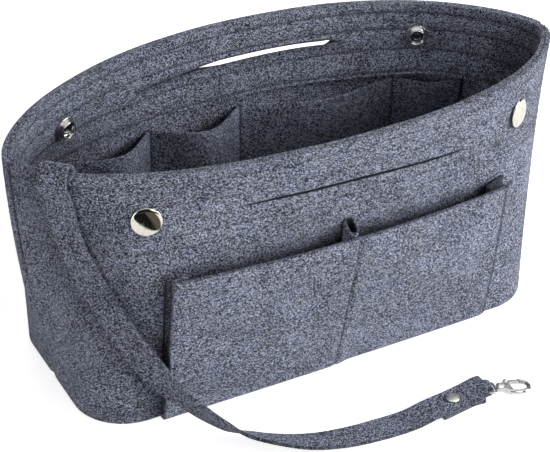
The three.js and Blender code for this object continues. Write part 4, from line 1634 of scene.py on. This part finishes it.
@dataclass
class Snaps:
    """Two snap closures: cap and stud on the front wall, hollow socket and post on the back wall."""

    shape: BagShape
    finishes: Finishes
    # Left and right snap: distance from the wall's nearer end, height, tilt upwards and turn to the right
    caps: tuple[tuple[float, float, float, float], ...] = (
        (73.8 * MM, 120.2 * MM, 5.0, 0.0), (69.2 * MM, 122.5 * MM, 3.0, 5.0),
    )
    cups: tuple[tuple[float, float, float, float], ...] = (
        (70.5 * MM, 121.4 * MM, 0.0, 0.0), (69.1 * MM, 125.2 * MM, 0.0, 0.0),
    )
    cap_radius: float = 7.5 * MM
    cap_dome: float = 1.8 * MM
    post_radius: float = 2 * MM
    flange_radius: float = 5.6 * MM
    stud_radius: float = 3.85 * MM
    stud_length: float = 3.2 * MM
    cup_base: float = 6.6 * MM
    cup_radius: float = 4.8 * MM
    cup_depth: float = 3.2 * MM
    cup_notch: float = 0.4 * MM
    sheet: float = 0.8 * MM
    fit: float = 0.15 * MM
    cap_edge: float = 0.35 * MM
    cap_power: float = 1.1
    socket_steps: int = 120

    def _seat(self, side: Side, hand: Hand) -> Matrix:
        """Frame of one snap on its wall.

        Args:
            side: Which wall.
            hand: Which end of the bag.

        Returns:
            The frame, with Z out of the bag.
        """
        places = self.caps if side is Side.FRONT else self.cups
        from_end, height, tilt, turn = places[0 if hand is Hand.LEFT else 1]
        seat = self.shape.seat(side, hand.value * (self.shape.length / 2 - from_end), height)
        out = seat.to_3x3() @ Vector((0, 0, 1))
        level = Vector((0, 0, 1)).cross(out).normalized()
        lean = Matrix.Rotation(math.radians(turn), 3, "Z") @ Matrix.Rotation(math.radians(-tilt), 3, level)
        return Matrix.Translation(seat.translation) @ (lean @ seat.to_3x3()).to_4x4()

    def build(self) -> None:
        """Build and dress all eight pieces."""
        inside = -(self.shape.panel_felt + self.shape.facing_felt + 3 * self.shape.clearance)
        for hand in Hand:
            front, back = self._seat(Side.FRONT, hand), self._seat(Side.BACK, hand)
            makers = (
                ("cap", front, self._cap(inside)), ("stud", front, self._stud(inside)),
                ("socket", back, self._socket(inside)), ("post", back, self._post(inside)),
            )
            for word, seat, profile in makers:
                name = f"{hand.name.lower()}_snap_{word}"
                steps, notch = (self.socket_steps, self.cup_notch) if word == "socket" else (64, 0.0)
                piece = turned(f"{name}_turned", profile, seat, steps, notch)
                finish = self.finishes.nickel if word == "cap" else self.finishes.plated
                dress(piece, Body.BAG, finish, name)

    def _cap(self, inside: float) -> list[Pair]:
        """Domed cap with its post.

        Args:
            inside: Level of the inner felt face.

        Returns:
            Profile points.
        """
        base = self.shape.clearance
        crown = dome(self.cap_radius, base + self.cap_edge, base + self.cap_dome, 26, self.cap_power)
        rim = [(self.cap_radius, base + 0.25 * MM), (0.97 * self.cap_radius, base)]
        post = [(self.post_radius, base), (self.post_radius, inside - self.sheet), (0.0, inside - self.sheet)]
        return [*crown, *rim, *post]

    def _socket(self, inside: float) -> list[Pair]:
        """Hollow bell-shaped socket on a notched flange, with a rolled lip that grips the stud.

        Args:
            inside: Level of the inner felt face.

        Returns:
            Profile points.
        """
        bore = self.post_radius + self.fit
        mouth = self.stud_radius + self.fit
        floor = inside - self.sheet - 0.4 * MM
        base, ring, deep = self.cup_base, self.cup_radius, self.cup_depth
        lip = [
            (mouth + (ring - mouth) * (0.5 + 0.5 * math.cos(a)), inside - deep + 0.6 * MM * (1 - math.sin(a)))
            for a in np.linspace(0, math.pi, 11)
        ]
        bell = [
            (0.9 * base + (ring - 0.9 * base) * t ** 1.2, inside - 0.6 * MM - (deep - 1.2 * MM) * t)
            for t in np.linspace(0, 1, 10)
        ]
        return [
            (bore, inside), (base, inside), (base, inside - 0.45 * MM), *bell, *lip,
            (mouth, floor + 0.35 * (inside - deep - floor)), (0.95 * mouth, floor),
            (bore, floor), (bore, inside),
        ]

    def _stud(self, inside: float) -> list[Pair]:
        """Stud with a flange, a neck and a rolled hollow end.

        Args:
            inside: Level of the inner felt face.

        Returns:
            Profile points.
        """
        bore = self.post_radius + self.fit
        radius, tip = self.stud_radius, inside - self.stud_length
        return [
            (bore, inside), (self.flange_radius, inside), (self.flange_radius, inside - 0.55 * self.sheet),
            (0.95 * self.flange_radius, inside - self.sheet), (1.12 * radius, inside - 1.15 * self.sheet),
            (0.95 * radius, inside - 1.5 * self.sheet), (0.92 * radius, inside - 0.5 * self.stud_length),
            (0.97 * radius, inside - 0.64 * self.stud_length), (radius, inside - 0.78 * self.stud_length),
            (0.96 * radius, tip + 0.15 * MM), (0.86 * radius, tip), (0.76 * radius, tip + 0.1 * MM),
            (bore, tip + 0.4 * MM), (bore, inside),
        ]

    def _post(self, inside: float) -> list[Pair]:
        """Back post with a flat rolled head.

        Args:
            inside: Level of the inner felt face.

        Returns:
            Profile points.
        """
        base = self.shape.clearance
        head = 0.9 * self.flange_radius
        end = inside - self.sheet - 0.4 * MM
        return [
            (0.0, base + 0.8 * self.sheet), (0.55 * head, base + 0.85 * self.sheet),
            (0.82 * head, base + self.sheet), (0.95 * head, base + 0.8 * self.sheet),
            (head, base + 0.4 * self.sheet), (0.97 * head, base),
            (self.post_radius, base), (self.post_radius, end), (0.0, end),
        ]


@dataclass
class KeyStrap:
    """Felt strap that hangs over the left end and lies along the floor to its clasp."""

    shape: BagShape
    finishes: Finishes
    width: float = 14.5 * MM
    felt: float = 1.8 * MM
    tongue_width: float = 6.4 * MM
    tongue_station: float = 26.0
    tongue_reach: float = 2.25
    rivet_at: Pair = (37 * MM, -106 * MM)
    rivet_layer: float = 4.1 * MM
    rivet_radius: float = 3.4 * MM
    rivet_post: float = 0.9 * MM
    rivet_dome: float = 1.2 * MM
    rivet_plate: float = 0.6 * MM
    rivet_low: float = 0.15 * MM
    rivet_edge: float = 0.2 * MM
    shoulder: float = 0.2
    # Painted shade on the cut edges and on the hanging part, with the heights over which it comes and goes
    edge_dark: float = 0.25
    hang_dark: float = 0.08
    low_dark: float = 0.12
    hang_top: Ramp = Ramp(132 * MM, 112 * MM)
    hang_foot: Ramp = Ramp(0.0, 30 * MM)
    low_from: Ramp = Ramp(100 * MM, 80 * MM)
    # X, Y and Z in metres, then the plan direction and the lean of the strap's width in degrees
    stations: tuple[tuple[float, float, float, float, float], ...] = (
        (-0.1249, -0.0221, 0.11200, -49, 0), (-0.1275, -0.0196, 0.13200, -49, 0),
        (-0.1339, -0.0238, 0.14640, -49, 4), (-0.1379, -0.0274, 0.13900, -49, 8),
        (-0.1354, -0.0278, 0.12800, -49, 12), (-0.1328, -0.0295, 0.11000, -50, 13),
        (-0.1293, -0.0331, 0.09650, -49, 20), (-0.1244, -0.0375, 0.08200, -44, 25),
        (-0.1166, -0.0438, 0.06400, -35, 30), (-0.1080, -0.0486, 0.04600, -30, 36),
        (-0.1008, -0.0556, 0.03300, -42, 37), (-0.0930, -0.0637, 0.02400, -65, 36),
        (-0.0849, -0.0698, 0.01600, -86, 50), (-0.0750, -0.0776, 0.00880, -100, 46),
        (-0.0660, -0.0850, 0.00600, -126, 32), (-0.0560, -0.0920, 0.00440, -120, 24),
        (-0.0412, -0.0996, 0.00280, -110, 12), (-0.0238, -0.1038, 0.00160, -100, 4),
        (-0.0052, -0.1059, 0.00130, -93, 0), (0.0120, -0.1065, 0.00140, -90, 0),
        (0.0230, -0.1066, 0.00340, -88, 0), (0.0370, -0.1060, 0.00410, -86, 0),
        (0.0470, -0.1050, 0.00470, -88, 0), (0.0530, -0.1046, 0.00570, -97, 0),
        (0.0574, -0.1054, 0.00610, -105, 0), (0.0589, -0.1058, 0.00545, -105, 0),
        (0.0595, -0.1060, 0.00390, -105, 0), (0.0589, -0.1058, 0.00235, -105, 0),
        (0.0574, -0.1054, 0.00170, -105, 0), (0.0470, -0.1049, 0.00190, -92, 0),
        (0.0370, -0.1060, 0.00190, -83, 0), (0.0260, -0.1076, 0.00190, -81, 0),
    )
    strap: bpy.types.Object | None = field(default=None, init=False)
    path: list[Triple] = field(default_factory=list, init=False)
    run: float = field(default=0.0, init=False)

    def _line(self, station: np.ndarray) -> np.ndarray:
        """Centre line at fractional stations, as a centripetal spline.

        Args:
            station: Station numbers.

        Returns:
            Points in metres.
        """
        known = np.array([s[:3] for s in self.stations])
        known = np.vstack([2 * known[0] - known[1], known, 2 * known[-1] - known[-2]])
        last = len(self.stations) - 1
        from_ = np.clip(np.floor(station).astype(int), 0, last - 1)
        part = (station - from_)[:, None]
        p0, p1, p2, p3 = (known[from_ + k] for k in range(4))
        steps = ((p0, p1), (p1, p2), (p2, p3))
        d0, d1, d2 = (np.sqrt(np.linalg.norm(b - a, axis=1))[:, None] for a, b in steps)
        t1 = ((p1 - p0) / d0 - (p2 - p0) / (d0 + d1) + (p2 - p1) / d1) * d1
        t2 = ((p2 - p1) / d1 - (p3 - p1) / (d1 + d2) + (p3 - p2) / d2) * d1
        c2 = -3 * p1 + 3 * p2 - 2 * t1 - t2
        c3 = 2 * p1 - 2 * p2 + t1 + t2
        return p1 + t1 * part + c2 * part ** 2 + c3 * part ** 3

    def _spans(self, station: np.ndarray) -> np.ndarray:
        """Width of the strap, drawn in to a tongue at the clasp's eye.

        Args:
            station: Station numbers.

        Returns:
            Widths.
        """
        away = np.abs(station - self.tongue_station)
        step = np.clip((away - self.tongue_reach) / self.shoulder, 0, 1)
        return self.tongue_width + (self.width - self.tongue_width) * eased(step)

    def build(self) -> list[bpy.types.Object]:
        """Build and dress the strap and its rivet.

        Returns:
            The rivet's two pieces.
        """
        last = len(self.stations) - 1
        station = np.linspace(0, last, 12 * last + 1)
        middle = self._line(station)
        ahead = np.gradient(middle, axis=0)
        ahead /= np.linalg.norm(ahead, axis=1)[:, None]
        turn, lean = (
            np.radians(np.interp(station, range(last + 1), [s[k] for s in self.stations])) for k in (3, 4)
        )
        wide = np.stack([np.cos(turn) * np.cos(lean), np.sin(turn) * np.cos(lean), np.sin(lean)], -1)
        wide -= np.sum(wide * ahead, axis=1)[:, None] * ahead
        wide /= np.linalg.norm(wide, axis=1)[:, None]
        face = np.cross(ahead, wide)
        across = np.array([-0.5, -0.46, -0.4, -0.25, -0.1, 0.0, 0.1, 0.25, 0.4, 0.46, 0.5])
        span = self._spans(station)[:, None, None]
        spread = middle[:, None, :] + span * across[None, :, None] * wide[:, None, :]
        outer = spread + face[:, None, :] * self.felt / 2
        inner = spread - face[:, None, :] * self.felt / 2
        quads = grid_quads(len(station), len(across))
        # Painted shade: darker cut edges, and darker on the hanging part below the rim
        hanging = self.hang_top.at(middle[:, 2]) * self.hang_foot.at(middle[:, 2])
        low = self.low_from.at(middle[:, 2])
        wear_and_shade = np.where(np.abs(across) > 0.49, self.edge_dark, 0.0)[None, :] * (1 + low[:, None])
        shade = np.maximum(wear_and_shade, (hanging * (self.hang_dark + self.low_dark * low))[:, None]).ravel()
        layers = outer.reshape(-1, 3), inner.reshape(-1, 3)
        self.strap = thick_sheet("key_strap_felt", *layers, quads, 0.45 * MM, shade)
        dress(self.strap, Body.BAG, self.finishes.felt, "key_strap")
        rivet = self._build_rivet()
        self.path = [tuple(point) for point in middle[::4]]
        self.run = float(np.sum(np.linalg.norm(np.diff(middle, axis=0), axis=1)))
        return rivet

    def _build_rivet(self) -> list[bpy.types.Object]:
        """Build the rivet through the strap's two layers.

        Returns:
            Cap and base.
        """
        top = self.rivet_layer + self.felt / 2 + self.shape.clearance
        bore = self.rivet_post + 0.15 * MM
        cap = [
            *dome(self.rivet_radius, top + self.rivet_edge, top + self.rivet_dome, 16),
            (self.rivet_radius, top + 0.12 * MM), (0.96 * self.rivet_radius, top), (bore, top),
            (bore, top + 0.4 * MM), (0.0, top + 0.4 * MM),
        ]
        plate = self.rivet_low + self.rivet_plate
        foot = 0.9 * self.rivet_radius
        base = [
            (0.0, top + 0.25 * MM), (self.rivet_post, top + 0.25 * MM), (self.rivet_post, plate),
            (foot, plate), (foot, self.rivet_low), (0.0, self.rivet_low),
        ]
        seat = Matrix.Translation((*self.rivet_at, 0.0))
        pieces = []
        for word, profile in (("cap", cap), ("base", base)):
            piece = turned(f"rivet_{word}_turned", profile, seat, 48)
            pieces.append(dress(piece, Body.BAG, self.finishes.satin, f"strap_rivet_{word}"))
        return pieces

    def declare(self, carried: Sequence[bpy.types.Object | str]) -> None:
        """Args:
            carried: Pieces on the strap, not used.
        """
        log.info("strap of %.0f mm", self.run / MM)


@dataclass
class Clasp:
    """Swivel clasp at the end of the strap, cast and plated."""

    finishes: Finishes
    grain: float = 0.13 * MM
    rounds: int = 6

    def _cast(self, node: str, body: Body) -> bpy.types.Object:
        """Make a smooth casting in the place of a solid.

        Args:
            node: Solid to follow.
            body: Body that carries it.

        Returns:
            The dressed casting.
        """
        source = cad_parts[node]
        source = source if isinstance(source, bpy.types.Object) else bpy.data.objects[node]
        piece = bpy.data.objects.new(f"{node}_cast", source.data.copy())
        bpy.context.collection.objects.link(piece)
        mend(piece.data, 1e-6, turn=False)
        remesh = piece.modifiers.new("casting", "REMESH")
        remesh.mode = "VOXEL"
        remesh.voxel_size = self.grain
        soft = piece.modifiers.new("polish", "SMOOTH")
        soft.factor = 0.5
        soft.iterations = self.rounds
        settle(piece)
        return dress(piece, body, self.finishes.plated, node)

    def build(self) -> list[bpy.types.Object]:
        """Build and dress the clasp's castings; the pin and the spring keep their solids.

        Returns:
            All pieces of the clasp.
        """
        pieces = [self._cast(f"clasp_{body.value}", body) for body in (Body.EYE, Body.HOOK, Body.GATE)]
        for node in ("clasp_gate_pin", "clasp_gate_spring"):
            solid = bpy.data.objects[node]
            solid.data.materials.clear()
            solid.data.materials.append(self.finishes.steel)
            pieces.append(solid)
        return pieces


@dataclass
class Stitching:
    """Sewn rows as separate thread stitches, laid along their paths by one node tree."""

    finishes: Finishes
    pitch: float = 3.3 * MM
    length: float = 2.5 * MM
    width: float = 0.62 * MM
    rise: float = 0.5 * MM
    waver: float = 0.12
    seed: int = 7

    def _paths(self, lines: Sequence[StitchLine]) -> bpy.types.Object:
        """Make one wire mesh of all rows with the direction out of the felt on each point.

        Args:
            lines: Rows to sew.

        Returns:
            The wire object.
        """
        mesh = bpy.data.meshes.new("thread_stitches")
        points = np.vstack([line.points for line in lines])
        edges = []
        start = 0
        for line in lines:
            count = len(line.points)
            edges += [(start + k, start + k + 1) for k in range(count - 1)]
            start += count
        mesh.from_pydata(points.tolist(), edges, [])
        out = mesh.attributes.new("out", "FLOAT_VECTOR", "POINT")
        out.data.foreach_set("vector", np.vstack([line.out for line in lines]).ravel())
        made = bpy.data.objects.new("thread_stitches", mesh)
        bpy.context.collection.objects.link(made)
        return made

    def _tree(self) -> tuple[bpy.types.NodeTree, dict[str, str]]:
        """Build the node tree that sews.

        Returns:
            The tree and the identifier of each named input.
        """
        tree = bpy.data.node_groups.new("sewn_rows", "GeometryNodeTree")
        face = tree.interface
        face.new_socket("Geometry", in_out="INPUT", socket_type="NodeSocketGeometry")
        face.new_socket("Geometry", in_out="OUTPUT", socket_type="NodeSocketGeometry")
        kinds = dict.fromkeys(("Pitch", "Length", "Width", "Rise", "Waver"), "Float")
        kinds |= {"Seed": "Int", "Thread": "Material"}
        named = {
            name: face.new_socket(name, in_out="INPUT", socket_type=f"NodeSocket{kind}").identifier
            for name, kind in kinds.items()
        }
        new = tree.nodes.new
        given, result = new("NodeGroupInput"), new("NodeGroupOutput")
        curve, evenly = new("GeometryNodeMeshToCurve"), new("GeometryNodeResampleCurve")
        evenly.mode = "LENGTH"
        bead = new("GeometryNodeMeshUVSphere")
        for name, value in (("Segments", 6), ("Rings", 4), ("Radius", 0.5)):
            bead.inputs[name].default_value = value
        size, low, high = (new("ShaderNodeCombineXYZ") for _ in range(3))
        tangent, out = new("GeometryNodeInputTangent"), new("GeometryNodeInputNamedAttribute")
        out.data_type = "FLOAT_VECTOR"
        out.inputs["Name"].default_value = "out"
        along, up = (new("FunctionNodeAlignRotationToVector") for _ in range(2))
        along.axis = "X"
        up.axis = "Z"
        up.pivot_axis = "X"
        lean, negative = new("FunctionNodeRandomValue"), new("ShaderNodeMath")
        lean.data_type = "FLOAT_VECTOR"
        negative.operation = "MULTIPLY"
        negative.inputs[1].default_value = -1.0
        turn, angle = new("FunctionNodeRotateRotation"), new("FunctionNodeEulerToRotation")
        turn.rotation_space = "LOCAL"
        sewn, real = new("GeometryNodeInstanceOnPoints"), new("GeometryNodeRealizeInstances")
        dyed = new("GeometryNodeSetMaterial")
        for source, output, target, entry in (
            (given, "Geometry", curve, "Mesh"), (curve, "Curve", evenly, "Curve"),
            (given, "Pitch", evenly, "Length"), (given, "Length", size, "X"), (given, "Width", size, "Y"),
            (given, "Rise", size, "Z"), (tangent, "Tangent", along, "Vector"),
            (along, "Rotation", up, "Rotation"), (out, "Attribute", up, "Vector"),
            (given, "Waver", negative, 0), (negative, 0, low, "Z"), (given, "Waver", high, "Z"),
            (low, 0, lean, "Min"), (high, 0, lean, "Max"), (given, "Seed", lean, "Seed"),
            (lean, "Value", angle, "Euler"), (up, "Rotation", turn, "Rotation"),
            (angle, "Rotation", turn, "Rotate By"), (evenly, "Curve", sewn, "Points"),
            (bead, "Mesh", sewn, "Instance"), (turn, "Rotation", sewn, "Rotation"),
            (size, "Vector", sewn, "Scale"), (sewn, "Instances", real, "Geometry"),
            (real, "Geometry", dyed, "Geometry"), (given, "Thread", dyed, "Material"),
            (dyed, "Geometry", result, "Geometry"),
        ):
            tree.links.new(source.outputs[output], target.inputs[entry])
        return tree, named

    def build(self, lines: Sequence[StitchLine]) -> None:
        """Sew all rows and dress the thread.

        Args:
            lines: Rows to sew.
        """
        piece = self._paths(lines)
        tree, named = self._tree()
        sewing = piece.modifiers.new("sewing", "NODES")
        sewing.node_group = tree
        values = {
            "Pitch": self.pitch, "Length": self.length, "Width": self.width, "Rise": self.rise,
            "Waver": self.waver, "Seed": self.seed, "Thread": self.finishes.thread,
        }
        for name, value in values.items():
            sewing[named[name]] = value
        settle(piece)
        dress(piece, Body.BAG, self.finishes.thread)


@dataclass
class Studio:
    """Pale floor, soft lamps and the camera."""

    camera_at: Triple = (-0.3742, -0.6942, 0.5690)
    camera_to: Triple = (0.3916, 0.7427, -0.5432)
    lens: float = 117.85
    sensor: float = 36.0
    floor_half: float = 4.0
    floor_lift: float = 0.8
    table_edge: float = -0.088
    table_turn: float = -0.2
    table_slope: float = 0.71
    table_soft: float = 0.01
    room_dark: Colour = (0.012, 0.012, 0.012, 1.0)
    room_warm: Colour = (0.15, 0.13, 0.11, 1.0)
    lamp_aim: Triple = (0.0, 0.0, 0.06)
    # Name, place, size and power of each lamp
    lamps: tuple[tuple[str, Triple, float, float], ...] = (
        ("key", (1.45, -0.9, 0.6), 0.9, 20.4),
        ("high", (0.6, -1.4, 1.3), 0.9, 4.3),
        ("front", (0.2, -1.65, 0.8), 0.9, 4.0),
        ("side", (1.25, -0.75, 1.0), 0.9, 3.0),
        ("low_left", (-1.5, -0.4, 0.45), 0.9, 4.9),
        ("back", (0.3, 1.3, 1.3), 1.0, 6.0),
    )
    # Light of the room, and what shiny metal sees of it behind the bag and overhead
    room_light: float = 0.16
    behind_light: float = 2.4
    behind_band: Pair = (0.1, 0.8)
    above_light: float = 3.6
    above_band: Pair = (0.4, 0.8)

    def build(self) -> None:
        """Build the floor, the lamps, the world and the camera."""
        self._floor()
        self._world()
        for name, place, size, power in self.lamps:
            lamp = bpy.data.lights.new(name, "AREA")
            lamp.shape = "DISK"
            lamp.size = size
            lamp.energy = power
            made = bpy.data.objects.new(name, lamp)
            made.location = place
            made.rotation_euler = (Vector(self.lamp_aim) - Vector(place)).to_track_quat("-Z", "Y").to_euler()
            bpy.context.collection.objects.link(made)
        self._camera()
        bpy.context.scene.view_settings.view_transform = "Standard"

    def _floor(self) -> None:
        """Build the floor, which shows white to the camera and keeps the shadow."""
        half = self.floor_half
        steps = np.linspace(-half, half, 9)
        points = np.array([(x, y, 0.0) for y in steps for x in steps]) - (0, 0, 0.0002)
        floor = add_object("studio_floor", points, grid_quads(len(steps), len(steps)))
        made = bpy.data.materials.new("floor_paper")
        graph = Graph(made)
        tooth = graph.noise(graph.place(), 300.0, 2.0, 0.5)
        colour = graph.mix(graph.band(tooth, 0.3, 0.7), grey(0.84), grey(0.86))
        paper = graph.add("ShaderNodeBsdfPrincipled", None, {"Base Color": colour, "Roughness": 0.9})
        seen = self._seen(graph)
        glow = graph.add("ShaderNodeEmission", None, {"Color": grey(1.0), "Strength": seen * self.floor_lift})
        table = graph.add("ShaderNodeAddShader", None, {0: paper, 1: glow})
        at_x, at_y = (
            graph.add("ShaderNodeSeparateXYZ", None, {"Vector": graph.place()}, axis) for axis in "XY"
        )
        room = graph.mix(graph.band(at_x - at_y * 0.44, -0.03, 0.0), self.room_dark, self.room_warm)
        dim = graph.add("ShaderNodeEmission", None, {"Color": room, "Strength": 1.0})
        gloss = graph.add("ShaderNodeLightPath", None, None, "Is Glossy Ray")
        held = at_x.maximum(self.table_turn)
        left = at_x * 0.5 - held * 0.5
        low, high = self.table_edge - self.table_soft, self.table_edge + self.table_soft
        front = graph.band(at_y - left - held * self.table_slope, low, high)
        beyond = gloss * (1.0 - front.maximum(graph.band(at_x, -0.045, -0.02)))
        graph.close(graph.add("ShaderNodeMixShader", None, {0: beyond, 1: table, 2: dim}))
        floor.data.materials.append(made)

    @staticmethod
    def _seen(graph: Graph) -> Wire:
        """1 for rays of the camera, of gloss and through glass.

        Args:
            graph: Graph to add to.

        Returns:
            The mask.
        """
        camera, gloss, through = (
            graph.add("ShaderNodeLightPath", None, None, name)
            for name in ("Is Camera Ray", "Is Glossy Ray", "Is Transmission Ray")
        )
        return camera.maximum(gloss).maximum(through)

    def _world(self) -> None:
        """Make a soft room, pale near the floor, with brighter parts that only shiny metal reflects."""
        world = bpy.data.worlds.new("studio_room")
        bpy.context.scene.world = world
        graph = Graph(world)
        place = graph.add("ShaderNodeTexCoord", None, None, "Generated")
        height = graph.add("ShaderNodeSeparateXYZ", None, {"Vector": place}, "Z")
        room = graph.add("ShaderNodeValToRGB", {"stops": (
            (0.0, grey(0.6)), (0.5, grey(0.5)), (0.53, grey(0.1)), (0.68, grey(0.16)), (1.0, grey(0.3)),
        )}, {"Fac": height * 0.5 + 0.5})
        toward = graph.add("ShaderNodeSeparateXYZ", None, {"Vector": place}, "Y")
        gloss = graph.add("ShaderNodeLightPath", None, None, "Is Glossy Ray")
        behind = graph.band(toward, *self.behind_band) * self.behind_light
        above = graph.band(height, *self.above_band) * self.above_light
        level = self.room_light + gloss * (behind + above)
        sky = graph.add("ShaderNodeBackground", None, {"Color": room, "Strength": level})
        graph.close(sky, "ShaderNodeOutputWorld")

    def _camera(self) -> None:
        """Set the camera where the photograph was taken."""
        lens = bpy.data.cameras.new("camera")
        lens.lens = self.lens
        lens.sensor_width = self.sensor
        lens.sensor_fit = "HORIZONTAL"
        lens.clip_end = 50.0
        made = bpy.data.objects.new("camera", lens)
        made.location = self.camera_at
        made.rotation_euler = Vector(self.camera_to).to_track_quat("-Z", "Y").to_euler()
        bpy.context.collection.objects.link(made)
        bpy.context.scene.camera = made


def main() -> None:
    """Build every class in order."""
    logging.basicConfig(level=logging.INFO, format="%(name)s: %(message)s")
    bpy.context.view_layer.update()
    Studio().build()
    finishes = Finishes.make()
    shape = BagShape()
    strap = KeyStrap(shape, finishes)
    rivet = strap.build()
    clasp = Clasp(finishes)
    strap.declare([*rivet, *clasp.build()])
    walls = Walls(shape, finishes)
    walls.build()
    pocket = OuterPocket(shape, finishes)
    pocket.build()
    inside = InnerPockets(shape, finishes)
    inside.build()
    Snaps(shape, finishes).build()
    Stitching(finishes).build([*walls.lines, *pocket.lines, *inside.lines])


if __name__ == "__main__":
    main()
